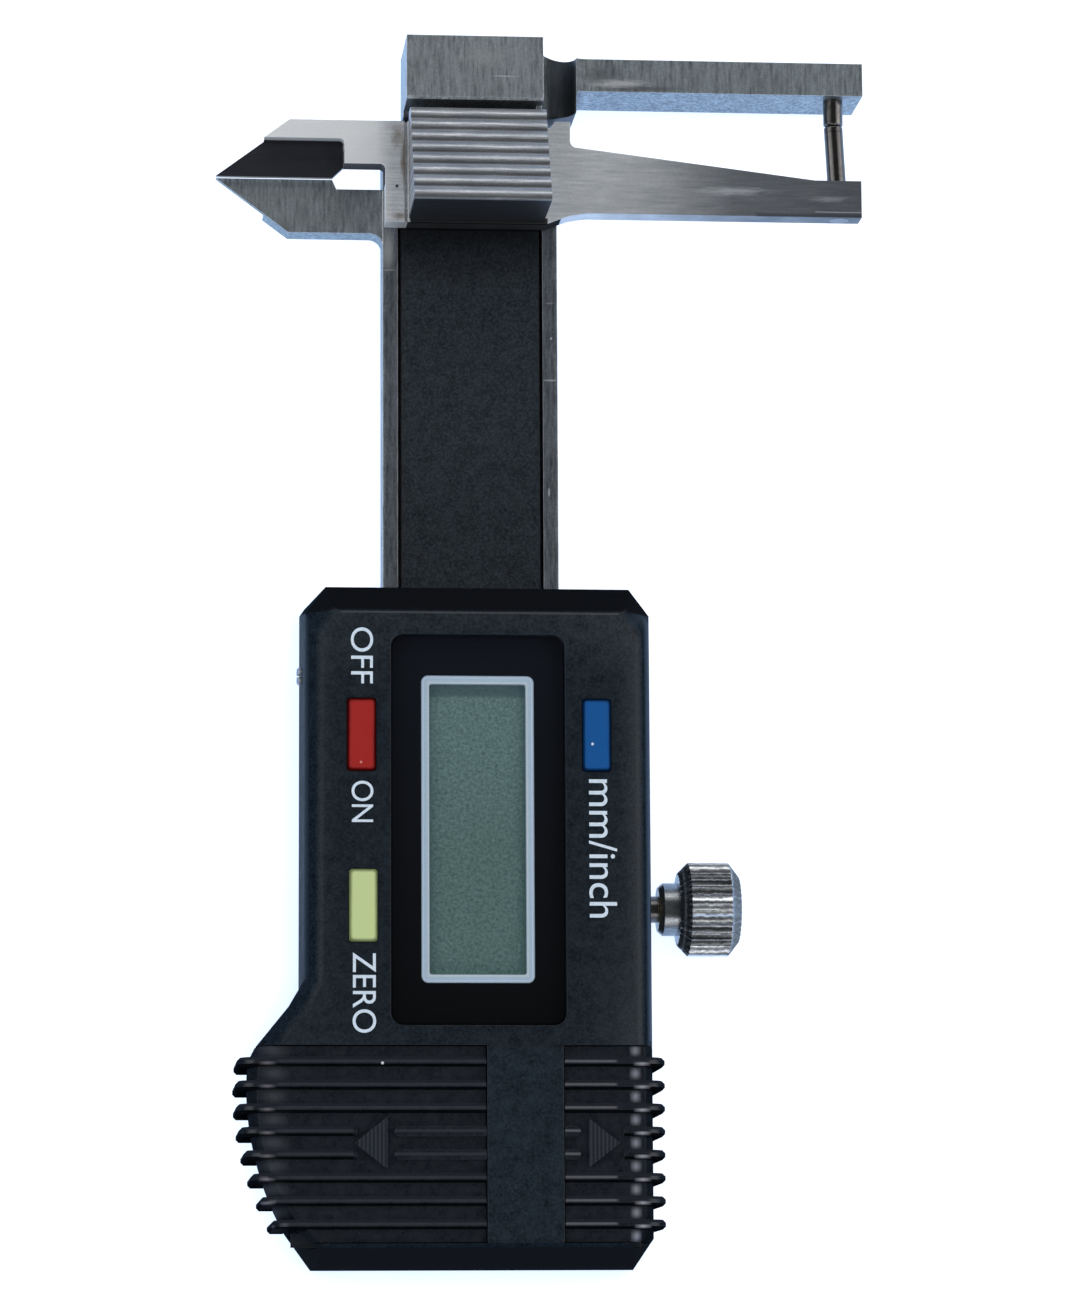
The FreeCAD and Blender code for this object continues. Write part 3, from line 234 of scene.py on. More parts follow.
def worn_and_lit_edges_group():
    """Rounds the edges in the shading, and gives a mask that is 1 along them."""
    tree, start, end = group("worn_and_lit_edges",
                             [("Radius", "NodeSocketFloat", 0.0001), ("Gain", "NodeSocketFloat", 6.0)],
                             [("Mask", "NodeSocketFloat"), ("Normal", "NodeSocketVector")])
    bevel = add(tree, "ShaderNodeBevel", {"Radius": start.outputs["Radius"]}, samples=6)
    geometry = add(tree, "ShaderNodeNewGeometry")
    dot = vector_calc(tree, "DOT_PRODUCT", bevel.outputs[0], geometry.outputs["Normal"])
    off = calc(tree, "SUBTRACT", 1.0, dot)
    mask = calc(tree, "MULTIPLY", off, start.outputs["Gain"], use_clamp=True)
    tree.links.new(mask, end.inputs["Mask"])
    tree.links.new(bevel.outputs[0], end.inputs["Normal"])
    return tree


def spot_mask_group():
    """1 inside a soft-edged ellipsoid whose rim is broken up by noise."""
    tree, start, end = group("spot_mask",
                             [("Vector", "NodeSocketVector", None), ("Centre", "NodeSocketVector", None),
                              ("Size", "NodeSocketVector", (0.001, 0.001, 0.001)),
                              ("Softness", "NodeSocketFloat", 0.5), ("Break", "NodeSocketFloat", 0.3)],
                             [("Mask", "NodeSocketFloat")])
    apart = vector_calc(tree, "SUBTRACT", start.outputs["Vector"], start.outputs["Centre"])
    scaled = vector_calc(tree, "DIVIDE", apart, start.outputs["Size"])
    reach = vector_calc(tree, "LENGTH", scaled)
    ragged = noise(tree, scaled, 2.3, 4.0, 0.65)
    swing = calc(tree, "SUBTRACT", ragged, 0.5)
    rim = calc(tree, "MULTIPLY_ADD", swing, start.outputs["Break"], reach)
    inner = calc(tree, "SUBTRACT", 1.0, start.outputs["Softness"])
    mask = remap(tree, rim, 1.0, inner, interpolation_type="SMOOTHSTEP")
    tree.links.new(mask, end.inputs["Mask"])
    return tree


def box_mask_group():
    """1 inside a box, with soft sides."""
    tree, start, end = group("box_mask",
                             [("Vector", "NodeSocketVector", None), ("Centre", "NodeSocketVector", None),
                              ("Half", "NodeSocketVector", (0.001, 0.001, 0.001)),
                              ("Softness", "NodeSocketFloat", 0.0001)],
                             [("Mask", "NodeSocketFloat")])
    apart = vector_calc(tree, "SUBTRACT", start.outputs["Vector"], start.outputs["Centre"])
    mirrored = vector_calc(tree, "ABSOLUTE", apart)
    outside = vector_calc(tree, "SUBTRACT", mirrored, start.outputs["Half"])
    parts = add(tree, "ShaderNodeSeparateXYZ", {0: outside})
    wide = calc(tree, "MAXIMUM", parts.outputs["X"], parts.outputs["Y"])
    most = calc(tree, "MAXIMUM", wide, parts.outputs["Z"])
    inner = calc(tree, "SUBTRACT", 0.0, start.outputs["Softness"])
    mask = remap(tree, most, 0.0, inner)
    tree.links.new(mask, end.inputs["Mask"])
    return tree


ground_lines = ground_lines_group()
worn_and_lit_edges = worn_and_lit_edges_group()
spot_mask = spot_mask_group()
box_mask = box_mask_group()


def new_finish(name):
    """An empty material, its tree, its shader and the object coordinates."""
    material = bpy.data.materials.new(name)
    material.use_nodes = True
    tree = material.node_tree
    coords = add(tree, "ShaderNodeTexCoord")
    return material, tree, tree.nodes["Principled BSDF"], coords.outputs["Object"]


def colour_mix(tree, factor, low, high):
    """A colour between two, by a mask; either may be a socket."""
    low = low if isinstance(low, bpy.types.NodeSocket) else (*low, 1.0)
    high = high if isinstance(high, bpy.types.NodeSocket) else (*high, 1.0)
    return add(tree, "ShaderNodeMix", {0: factor, 6: low, 7: high}, data_type="RGBA").outputs[2]


def tint_through(material, mask, colour, strength, blend="MIX"):
    """Mixes a colour over what the shader's base colour has so far."""
    tree = material.node_tree
    shader = tree.nodes["Principled BSDF"]
    factor = calc(tree, "MULTIPLY", mask, strength)
    before = shader.inputs["Base Color"].links[0].from_socket
    after = add(tree, "ShaderNodeMix", {0: factor, 6: before, 7: (*colour, 1.0)}, data_type="RGBA",
                blend_type=blend)
    tree.links.new(after.outputs[2], shader.inputs["Base Color"])


def object_coords(material):
    """The socket with a material's object coordinates."""
    return next(n for n in material.node_tree.nodes if n.type == "TEX_COORD").outputs["Object"]


def inside_box(material, low, high, softness):
    """A mask that is 1 inside a box; its corners and softness in millimetres."""
    mask = add(material.node_tree, "ShaderNodeGroup",
               {"Vector": object_coords(material),
                "Centre": [(a + b) / 2 * MM for a, b in zip(low, high)],
                "Half": [(b - a) / 2 * MM for a, b in zip(low, high)],
                "Softness": softness * MM}, node_tree=box_mask)
    return mask.outputs[0]


def spot(material, centre, size, colour, strength, softness=0.6, broken=0.5):
    """A stain, nick or speck at one place; centre and size in millimetres."""
    mask = add(material.node_tree, "ShaderNodeGroup",
               {"Vector": object_coords(material), "Centre": [c * MM for c in centre],
                "Size": [c * MM for c in size], "Softness": softness, "Break": broken},
               node_tree=spot_mask)
    tint_through(material, mask.outputs[0], colour, strength)


def patch(material, low, high, colour, strength, softness=0.1, blend="MIX"):
    """A colour over everything inside a box; its corners in millimetres."""
    tint_through(material, inside_box(material, low, high, softness), colour, strength, blend)


def fade(material, axis, start, end, colour):
    """Multiplies by a colour that comes in between two places along an axis; both in millimetres."""
    tree = material.node_tree
    parts = add(tree, "ShaderNodeSeparateXYZ", {0: object_coords(material)})
    mask = remap(tree, parts.outputs[axis], start * MM, end * MM)
    tint_through(material, mask, colour, 1.0, "MULTIPLY")


def dull(material, low, high):
    """Takes the shine off everything inside a box; its corners in millimetres."""
    tree = material.node_tree
    mask = inside_box(material, low, high, 0.05)
    for label in ("Metallic", "Specular IOR Level"):
        socket = tree.nodes["Principled BSDF"].inputs[label]
        before = socket.links[0].from_socket if socket.links else socket.default_value
        less = remap(tree, mask, 0.0, 1.0, before, 0.0)
        tree.links.new(less, socket)


def ground_steel(name, dark, light, roughness, stretch, edge=(0.75, 0.76, 0.78), edge_radius=0.07,
                 line_depth=0.25, grit=0.5, blotch=0.6, edge_gain=6.0, metallic=1.0):
    """Ground steel with grinding lines, grit, blotches and rubbed edges."""
    material, tree, shader, coords = new_finish(name)
    lines = add(tree, "ShaderNodeGroup", {"Vector": coords, "Stretch": stretch}, node_tree=ground_lines)
    edges = add(tree, "ShaderNodeGroup", {"Radius": edge_radius * MM, "Gain": edge_gain},
                node_tree=worn_and_lit_edges)
    body = colour_mix(tree, lines.outputs["Lines"], dark, light)
    grain = calc(tree, "MULTIPLY", lines.outputs["Grit"], grit)
    gritty = colour_mix(tree, grain, body, [0.55 * c for c in dark])
    cloud = calc(tree, "MULTIPLY", lines.outputs["Blotches"], blotch)
    clouded = colour_mix(tree, cloud, gritty, [0.7 * c for c in dark])
    shader.inputs["Metallic"].default_value = metallic
    tree.links.new(colour_mix(tree, edges.outputs["Mask"], clouded, edge), shader.inputs["Base Color"])
    rough = remap(tree, lines.outputs["Lines"], 0.0, 1.0, roughness + 0.08, roughness - 0.06)
    tree.links.new(rough, shader.inputs["Roughness"])
    bump = add(tree, "ShaderNodeBump", {"Strength": line_depth, "Distance": 0.02 * MM,
                                        "Height": lines.outputs["Lines"], "Normal": edges.outputs["Normal"]})
    tree.links.new(bump.outputs[0], shader.inputs["Normal"])
    return material


def dress(name, material):
    """Gives a CAD node its finish."""
    for place in frame["nodes"][name].material_slots:
        place.material = material


def smooth_copy(name, material, angle=32.0):
    """A joined, smooth-shaded copy of a CAD node, which stands for it."""
    mesh = frame["nodes"][name].data.copy()
    mesh.name = name + "_finished"
    bm = bmesh.new()
    bm.from_mesh(mesh)
    bmesh.ops.remove_doubles(bm, verts=bm.verts, dist=0.002 * MM)
    for face in bm.faces:
        face.smooth = True
    bm.to_mesh(mesh)
    bm.free()
    if mesh.has_custom_normals:
        mesh.attributes.remove(mesh.attributes["custom_normal"])
    mesh.set_sharp_from_angle(angle=math.radians(angle))
    mesh.materials.clear()
    mesh.materials.append(material)
    piece = mesh_object(name + "_finished", mesh)
    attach(piece, frame["nodes"][name]["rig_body"])
    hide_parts(name)
    return piece


BLACK = (0.02, 0.02, 0.022)
BRIGHT = (0.85, 0.86, 0.88)
RUST = (0.16, 0.11, 0.06)

frame_steel = ground_steel("frame_steel", (0.14, 0.155, 0.165), (0.78, 0.845, 0.875), 0.44,
                           (3400.0, 460.0, 3400.0), blotch=0.16, grit=0.45)
# Painted shade: the neck's hollow beside the block is made near black.
patch(frame_steel, (6.4, 72.0, 3.0), (10.6, 84.0, 9.05), (0.06, 0.06, 0.065), 0.92, 1.1)
patch(frame_steel, (-24.0, 60.0, 3.0), (-7.4, 69.2, 6.0), (0.76, 0.80, 0.79), 1.0, 0.3, "MULTIPLY")
patch(frame_steel, (10.9, 70.0, 2.0), (60.0, 76.6, 8.9), (0.56, 0.60, 0.62), 0.7, 0.08)
patch(frame_steel, (11.0, 60.0, -10.0), (45.0, 90.0, 30.0), (0.85, 0.87, 0.88), 1.0, 0.5, "MULTIPLY")
patch(frame_steel, (-8.1, -28.0, 2.4), (8.1, 75.5, 7.5), (0.49, 0.49, 0.52), 1.0, 0.4, "MULTIPLY")
spot(frame_steel, (13.6, 77.8, 9.0), (3.6, 0.55, 0.6), (0.80, 0.80, 0.82), 0.7, 0.8, 1.4)
spot(frame_steel, (11.4, 78.7, 9.0), (2.2, 1.0, 0.6), (0.14, 0.14, 0.15), 0.5, 0.9, 1.4)
spot(frame_steel, (16.0, 77.4, 9.0), (5.0, 0.35, 0.6), (0.12, 0.12, 0.13), 0.6, 0.8, 1.6)
spot(frame_steel, (2.9, 77.8, 11.0), (1.7, 0.09, 0.3), BRIGHT, 0.6, 0.6, 1.5)
spot(frame_steel, (1.0, 79.6, 11.0), (3.5, 1.2, 0.5), (0.60, 0.60, 0.62), 0.4, 0.9, 1.6)
spot(frame_steel, (-7.43, 60.7, 6.0), (0.9, 0.10, 0.5), BRIGHT, 0.4, 0.8, 1.4)
spot(frame_steel, (-7.5, 62.6, 6.0), (0.8, 2.4, 0.5), (0.72, 0.72, 0.70), 0.75, 0.9, 0.5)
spot(frame_steel, (7.3, 57.8, 6.0), (0.6, 0.10, 0.4), BRIGHT, 0.3, 0.8, 1.4)
spot(frame_steel, (7.35, 50.6, 6.0), (0.9, 0.11, 0.5), BRIGHT, 0.6, 0.7, 1.2)
spot(frame_steel, (7.42, 54.5, 6.0), (0.13, 0.13, 0.2), BRIGHT, 0.8, 0.5, 0.6)
spot(frame_steel, (7.16, 40.2, 6.0), (0.12, 0.5, 0.3), BRIGHT, 0.6, 0.5, 0.6)
smooth_copy("main_frame", frame_steel)


# ---- Sliding jaw and thumb pad -------------------------------------------------------------------
# Plate of ground steel with its lines along the arms; painted sheen makes it brighter beside the pad
# and darker towards the arm's tip, and painted shade fills the hollow behind the nib's edge; and the
# pad with ribs that the thumb pushes.

jaw_steel = ground_steel("jaw_steel", (0.50, 0.53, 0.55), (1.0, 1.0, 1.0), 0.42, (280.0, 3600.0, 280.0),
                         blotch=0.3, grit=0.3, metallic=0.5)
# Painted sheen: the plate darkens towards the arm's tip and is lighter on the left, by the pad and the nib.
fade(jaw_steel, "X", 11.0, 24.0, (0.24, 0.25, 0.265))
fade(jaw_steel, "X", 24.0, 37.0, (0.60, 0.61, 0.63))
patch(jaw_steel, (-40.0, 50.0, 6.9), (-7.2, 90.0, 30.0), (1.0, 1.0, 0.99), 0.8, 1.5)
# Painted shade: the walls of the hollow behind the nib's edge and the nib's underside are made near black;
# further down the hollow's shine is taken off too.
patch(jaw_steel, (-11.7, 68.2, 3.0), (-7.3, 71.6, 8.42), (0.02, 0.024, 0.032), 0.9, 0.08)
patch(jaw_steel, (-25.0, 68.0, 6.5), (-11.6, 73.0, 7.4), (0.024, 0.025, 0.032), 1.0, 0.1)
# Painted shade: the plate's walls under the pad and the strip of its face just below the pad are made near
# black; further down their shine is taken off too.
patch(jaw_steel, (-5.9, 62.0, 5.0), (8.2, 65.9, 8.46), (0.006, 0.006, 0.007), 0.97, 0.03)
patch(jaw_steel, (-5.7, 64.0, 8.0), (7.0, 65.22, 9.5), (0.006, 0.006, 0.007), 0.97, 0.1)
dull(jaw_steel, (-11.7, 68.2, 3.0), (-7.3, 71.6, 8.45))
dull(jaw_steel, (-5.9, 62.0, 5.0), (8.2, 65.9, 8.46))
spot(jaw_steel, (-6.15, 70.6, 8.5), (0.5, 3.2, 0.5), RUST, 0.85, 0.8, 1.4)
spot(jaw_steel, (-6.8, 72.6, 8.5), (0.8, 1.4, 0.5), RUST, 0.6, 0.9, 1.4)
spot(jaw_steel, (-6.6, 65.2, 8.5), (0.9, 0.5, 0.5), RUST, 0.7, 0.9, 1.0)
spot(jaw_steel, (-6.84, 67.98, 8.5), (0.2, 0.2, 0.3), BLACK, 0.95, 0.5, 0.4)
spot(jaw_steel, (24.0, 68.0, 8.5), (4.5, 0.5, 0.5), (0.62, 0.64, 0.66), 0.5, 0.9, 1.8)
spot(jaw_steel, (33.0, 67.4, 8.5), (2.5, 0.35, 0.5), (0.40, 0.42, 0.44), 0.5, 0.9, 1.8)
# Painted highlight: a light line along the chamfer of the arm's lower edge near its tip.
patch(jaw_steel, (31.6, 66.12, 8.2), (36.2, 66.24, 8.8), (0.50, 0.52, 0.54), 0.8, 0.05)
patch(jaw_steel, (26.0, 60.0, 8.0), (37.0, 66.15, 9.0), (0.55, 0.56, 0.58), 1.0, 0.3, "MULTIPLY")
smooth_copy("slider_jaw", jaw_steel)


def rib_light_and_shade(material, top_y, pitch, bands):
    """Painted highlights and shade repeating along Y; bands lists the place in one pitch and the colour
    there.
    """
    tree = material.node_tree
    shader = tree.nodes["Principled BSDF"]
    coords = object_coords(material)
    parts = add(tree, "ShaderNodeSeparateXYZ", {0: coords})
    waver = noise(tree, coords, 420.0, 3.0)
    swing = calc(tree, "MULTIPLY_ADD", waver, 0.12 * MM, parts.outputs["Y"])
    down = calc(tree, "SUBTRACT", (top_y + 0.06) * MM, swing)
    turns = calc(tree, "DIVIDE", down, pitch * MM)
    phase = calc(tree, "FRACT", turns)
    ramp = add(tree, "ShaderNodeValToRGB", {"Fac": phase})
    stops = ramp.color_ramp.elements
    while len(stops) < len(bands):
        stops.new(0.5)
    for stop, (place, tone) in zip(stops, bands):
        stop.position = place
        stop.color = (tone, tone, tone * 1.04, 1.0)
    before = shader.inputs["Base Color"].links[0].from_socket
    lit_and_shaded = add(tree, "ShaderNodeMix", {0: 0.9, 6: before, 7: ramp.outputs["Color"]}, data_type="RGBA",
                 blend_type="MULTIPLY")
    tree.links.new(lit_and_shaded.outputs[2], shader.inputs["Base Color"])


pad_steel = ground_steel("pad_steel", (0.40, 0.43, 0.46), (1.0, 1.0, 0.97), 0.36, (330.0, 5200.0, 5200.0),
                         edge_radius=0.05, edge_gain=2.0, blotch=0.5, line_depth=0.9, grit=0.45, metallic=0.6)
pad_low, pad_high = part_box("thumb_pad")
pad_ribs = 8.2
# Painted highlights and shade across the pad's ribs.
rib_light_and_shade(pad_steel, pad_high.y / MM, (pad_high.y - pad_low.y) / MM / pad_ribs,
       [(0.0, 0.12), (0.10, 0.40), (0.22, 0.85), (0.34, 0.40), (0.52, 0.55), (0.62, 1.0), (0.70, 0.66),
        (0.92, 0.26)])
# Painted shade: the pad's bottom wall, facing the housing, is made near black.
patch(pad_steel, (-7.0, 64.5, 8.0), (8.0, 65.2, 16.2), (0.020, 0.022, 0.025), 0.95, 0.1)
smooth_copy("thumb_pad", pad_steel, 40.0)


# ---- Anvil pins ----------------------------------------------------------------------------------
# Hardened pins, darker than the arms, that meet when the gauge is closed.

pin_steel = ground_steel("pin_steel", (0.11, 0.10, 0.095), (0.17, 0.16, 0.15), 0.20, (420.0, 1500.0, 420.0),
                         edge_radius=0.04, grit=0.25, blotch=0.5, line_depth=0.03)
spot(pin_steel, (33.6, 74.0, 7.05), (1.2, 0.13, 1.5), BLACK, 0.7, 0.6, 0.3)
smooth_copy("upper_anvil_pin", pin_steel)
smooth_copy("lower_anvil_pin", pin_steel)


# ---- Slide bar and scale film --------------------------------------------------------------------
# The bar runs in the channel; the black film on it hides the pattern that the display reads.

bar_steel = ground_steel("bar_steel", (0.28, 0.28, 0.29), (0.48, 0.48, 0.49), 0.4, (5200.0, 420.0, 420.0))
# Painted shade: the bar's upper part, seen in the narrow gaps beside the film, is made near black.
patch(bar_steel, (-9.0, -40.0, 5.2), (9.0, 80.0, 8.0), (0.02, 0.02, 0.022), 0.95, 0.2)
dress("slide_bar", bar_steel)


def moulded_grain_group():
    """Fine pebbled texture: height for a bump, specks and a coarser mottle."""
    tree, start, end = group("moulded_grain",
                             [("Vector", "NodeSocketVector", None),
                              ("Grain Size", "NodeSocketFloat", 5200.0)],
                             [("Height", "NodeSocketFloat"), ("Specks", "NodeSocketFloat"),
                              ("Clouds", "NodeSocketFloat")])
    grain = noise(tree, start.outputs["Vector"], start.outputs["Grain Size"], 3.0, 0.6)
    fine = noise(tree, start.outputs["Vector"], start.outputs["Grain Size"], 1.0)
    specks = remap(tree, fine, 0.36, 0.74)
    clouds = noise(tree, start.outputs["Vector"], 800.0, 6.0, 0.85)
    spread = remap(tree, clouds, 0.38, 0.62)
    tree.links.new(grain, end.inputs["Height"])
    tree.links.new(specks, end.inputs["Specks"])
    tree.links.new(spread, end.inputs["Clouds"])
    return tree


moulded_grain = moulded_grain_group()


def moulded_plastic(name, base, light, roughness, grain_size=5200.0, depth=0.25, edge=None, edge_radius=0.1,
                    gloss=(0.012, 0.22), speck=0.3):
    """Moulded plastic with a fine grain; gloss is its specular level on side walls and on level faces."""
    material, tree, shader, coords = new_finish(name)
    grain = add(tree, "ShaderNodeGroup", {"Vector": coords, "Grain Size": grain_size},
                node_tree=moulded_grain)
    edges = add(tree, "ShaderNodeGroup", {"Radius": edge_radius * MM, "Gain": 3.0},
                node_tree=worn_and_lit_edges)
    body = colour_mix(tree, grain.outputs["Clouds"], base, light)
    some = calc(tree, "MULTIPLY", grain.outputs["Specks"], speck)
    specked = colour_mix(tree, some, body, [2.2 * c for c in light])
    # Along the edges the colour turns to edge: a lighter edge is a painted highlight, a dark one painted
    # shade.
    tree.links.new(colour_mix(tree, edges.outputs["Mask"], specked, edge or [2.5 * c for c in light]),
                   shader.inputs["Base Color"])
    facing = add(tree, "ShaderNodeNewGeometry")
    level = add(tree, "ShaderNodeSeparateXYZ", {0: facing.outputs["Normal"]})
    sideways = calc(tree, "ABSOLUTE", level.outputs["X"])
    wall = remap(tree, sideways, 0.85, 0.98, 0.0, gloss[0])
    shine = remap(tree, level.outputs["Z"], 0.72, 0.97, wall, gloss[1])
    tree.links.new(shine, shader.inputs["Specular IOR Level"])
    rough = remap(tree, grain.outputs["Clouds"], 0.0, 1.0, roughness - 0.04, roughness + 0.06)
    tree.links.new(rough, shader.inputs["Roughness"])
    bump = add(tree, "ShaderNodeBump", {"Strength": depth, "Distance": 0.02 * MM,
                                        "Height": grain.outputs["Height"], "Normal": edges.outputs["Normal"]})
    tree.links.new(bump.outputs[0], shader.inputs["Normal"])
    return material


DUST = (0.30, 0.31, 0.33)

# Its edges are made near black: painted shade in the gaps beside the rails.
film = moulded_plastic("scale_film", (0.0085, 0.0115, 0.0150), (0.0205, 0.0248, 0.0296), 0.6,
                       grain_size=4800.0, depth=0.8, edge=(0.002, 0.002, 0.002), edge_radius=0.08,
                       gloss=(0.0, 0.08), speck=0.6)
# Painted shadow: the film darkens towards its top end, under the pad.
fade(film, "Y", 59.0, 64.0, (0.30, 0.30, 0.30))
spot(film, (-1.6, 65.3, 5.95), (0.16, 0.75, 0.3), (0.05, 0.055, 0.065), 0.7, 0.8, 1.0)
spot(film, (1.68, 65.45, 5.95), (0.14, 0.1, 0.2), DUST, 0.8, 0.6, 0.8)
dress("scale_strip", film)


# ---- Display housing -----------------------------------------------------------------------------
# Black moulded shell, closed behind by a painted steel plate with four countersunk screws.

housing_plastic = moulded_plastic("housing_plastic", (0.0028, 0.0050, 0.0080), (0.0094, 0.0146, 0.0200), 0.38,
                                  grain_size=4200.0, depth=0.6, speck=0.45, edge=(0.020, 0.024, 0.029),
                                  gloss=(0.003, 0.22))
patch(housing_plastic, (-16.0, 21.5, 5.0), (16.0, 32.0, 28.0), (1.55, 1.42, 1.32), 1.0, 4.0, "MULTIPLY")
# Painted light: the strip of the front between the covers is made lighter.
patch(housing_plastic, (0.2, -28.0, 12.0), (7.6, -11.0, 20.0), (1.25, 1.3, 1.3), 1.0, 0.4, "MULTIPLY")
# Painted highlights: a bluish band down the right side and a bluish sheen on the top right corner.
patch(housing_plastic, (14.6, -30.0, 14.2), (17.0, 27.4, 30.0), (0.065, 0.090, 0.130), 0.8, 0.4)
patch(housing_plastic, (13.1, 26.0, 8.0), (19.0, 34.0, 26.0), (0.040, 0.054, 0.072), 0.75, 1.7)
# Painted shade on the top slope, and a painted highlight along the top edge of the front face.
patch(housing_plastic, (-20.0, 27.45, 13.0), (20.0, 32.0, 17.0), (0.0060, 0.0065, 0.0077), 0.95, 0.25)
patch(housing_plastic, (-12.4, 27.25, 16.3), (12.4, 27.50, 16.7), (0.055, 0.055, 0.058), 0.9, 0.08)
# Painted shade on the bottom wall.
patch(housing_plastic, (-20.0, -32.0, 2.0), (20.0, -28.05, 16.2), (0.0078, 0.0086, 0.0103), 0.9, 0.3)
spot(housing_plastic, (7.35, 14.0, 16.5), (0.12, 0.12, 0.2), BRIGHT, 0.9, 0.5, 0.4)
smooth_copy("front_housing", housing_plastic, 28.0)
rear_paint = moulded_plastic("rear_paint", (0.006, 0.006, 0.0065), (0.010, 0.010, 0.011), 0.5,
                             grain_size=2600.0, depth=0.5)
smooth_copy("rear_plate", rear_paint)
screw_steel = ground_steel("screw_steel", (0.3, 0.3, 0.31), (0.5, 0.5, 0.51), 0.35, (2500.0, 2500.0, 2500.0),
                           edge_radius=0.05)
for name in ("rear_plate_screws", "frame_screws", "board_screws", "thumb_pad_screws", "gib_screw"):
    smooth_copy(name, screw_steel)


# ---- Sliding covers ------------------------------------------------------------------------------
# Ribbed plastic covers at the lower end: the left one closes the battery compartment and the
# right one the data port. Each slides off sideways, the way its finely hatched arrow points.

def hatched(material, low, high, colour, strength):
    """Fine upright lines inside a box; its corners in millimetres."""
    tree = material.node_tree
    waves = add(tree, "ShaderNodeTexWave", {"Vector": object_coords(material), "Scale": 900.0},
                bands_direction="X")
    both = calc(tree, "MULTIPLY", waves.outputs["Fac"], inside_box(material, low, high, 0.1))
    tint_through(material, both, colour, strength)


def lit_from_above(material, bright, dark):
    """Edges that face the jaws catch the light and those that face away lose it."""
    tree = material.node_tree
    facing = add(tree, "ShaderNodeNewGeometry")
    parts = add(tree, "ShaderNodeSeparateXYZ", {0: facing.outputs["True Normal"]})
    level = remap(tree, parts.outputs["Z"], 0.15, 0.4)
    upper = remap(tree, parts.outputs["Y"], 0.35, 0.6)
    lower = remap(tree, parts.outputs["Y"], -0.35, -0.6)
    lit = calc(tree, "MULTIPLY", upper, level)
    tint_through(material, lit, bright, 0.85)
    tint_through(material, lower, dark, 0.8)


FIRST_RIB_Y = -12.33
RIB_PITCH = 2.02


def rib_highlight(material, offset, width, low, high, colour, strength, softness=0.3):
    """A painted highlight along every rib inside a box, moved from the rib's middle towards the jaws."""
    tree = material.node_tree
    parts = add(tree, "ShaderNodeSeparateXYZ", {0: object_coords(material)})
    start = (FIRST_RIB_Y + RIB_PITCH / 2 + offset) * MM
    down = calc(tree, "SUBTRACT", start, parts.outputs["Y"])
    turns = calc(tree, "DIVIDE", down, RIB_PITCH * MM)
    phase = calc(tree, "FRACT", turns)
    apart = calc(tree, "SUBTRACT", phase, 0.5)
    reach = calc(tree, "ABSOLUTE", apart)
    line = remap(tree, reach, width / RIB_PITCH, 0.2 * width / RIB_PITCH)
    both = calc(tree, "MULTIPLY", line, inside_box(material, low, high, softness))
    tint_through(material, both, colour, strength)


cover_plastic = moulded_plastic("cover_plastic", (0.0044, 0.0062, 0.0092), (0.0122, 0.0156, 0.0204), 0.30,
                                gloss=(0.0, 0.3), edge=(0.012, 0.0135, 0.017), edge_radius=0.06)
lit_from_above(cover_plastic, (0.020, 0.022, 0.028), (0.0008, 0.0008, 0.001))
# Painted highlights: a line on each rib's crest, a bead near each rib's end and a sheen on the shoulders
# between the ribs, brighter on the right cover.
rib_highlight(cover_plastic, 0.05, 0.16, (7.0, -27.5, 16.2), (12.0, -11.5, 18.0), (0.13, 0.13, 0.14), 0.8, 0.3)
rib_highlight(cover_plastic, 0.05, 0.18, (-18.0, -27.5, 16.2), (0.5, -11.5, 18.0), (0.034, 0.037, 0.045), 0.8, 0.3)
rib_highlight(cover_plastic, -0.18, 0.20, (13.3, -27.5, 14.9), (14.9, -11.5, 18.0), (0.36, 0.35, 0.39), 0.9, 0.75)
rib_highlight(cover_plastic, -0.12, 0.20, (-19.5, -27.5, 14.9), (-17.9, -11.5, 18.0), (0.16, 0.15, 0.17), 0.8, 0.7)
rib_highlight(cover_plastic, RIB_PITCH / 2, 0.58, (13.0, -29.0, 8.0), (14.1, -9.5, 24.0), (0.26, 0.26, 0.30),
         0.9, 0.52)
rib_highlight(cover_plastic, RIB_PITCH / 2, 0.75, (-19.6, -29.0, 8.0), (-16.6, -9.5, 24.0), (0.050, 0.054, 0.062),
         0.8, 1.3)
patch(cover_plastic, (-11.2, -21.75, 16.3), (-8.1, -17.05, 17.5), (0.0105, 0.0135, 0.0180), 1.0, 0.04)
patch(cover_plastic, (9.3, -21.6, 16.3), (12.3, -17.2, 17.5), (0.0105, 0.0135, 0.0180), 1.0, 0.04)
# Painted shade on the bottom wall.
patch(cover_plastic, (-20.0, -32.0, 2.0), (20.0, -28.05, 16.2), (0.0078, 0.0086, 0.0103), 0.9, 0.3)
patch(cover_plastic, (-16.5, -28.05, 12.0), (-11.9, -26.9, 21.0), (0.0100, 0.0122, 0.0160), 0.9, 0.15)
hatched(cover_plastic, (-10.85, -21.65, 16.45), (-8.2, -17.15, 17.0), (0.048, 0.053, 0.064), 0.9)
hatched(cover_plastic, (9.4, -21.5, 16.45), (12.1, -17.3, 17.0), (0.048, 0.053, 0.064), 0.9)
spot(cover_plastic, (-8.67, -12.45, 16.5), (0.16, 0.16, 0.3), BRIGHT, 0.9, 0.5, 0.4)
for name in ("battery_cover", "data_port_cover"):
    smooth_copy(name, cover_plastic, 28.0)


# ---- Display -------------------------------------------------------------------------------------
# A clear window, black on its underside outside the silver frame, over the grey-green display,
# which is switched off.

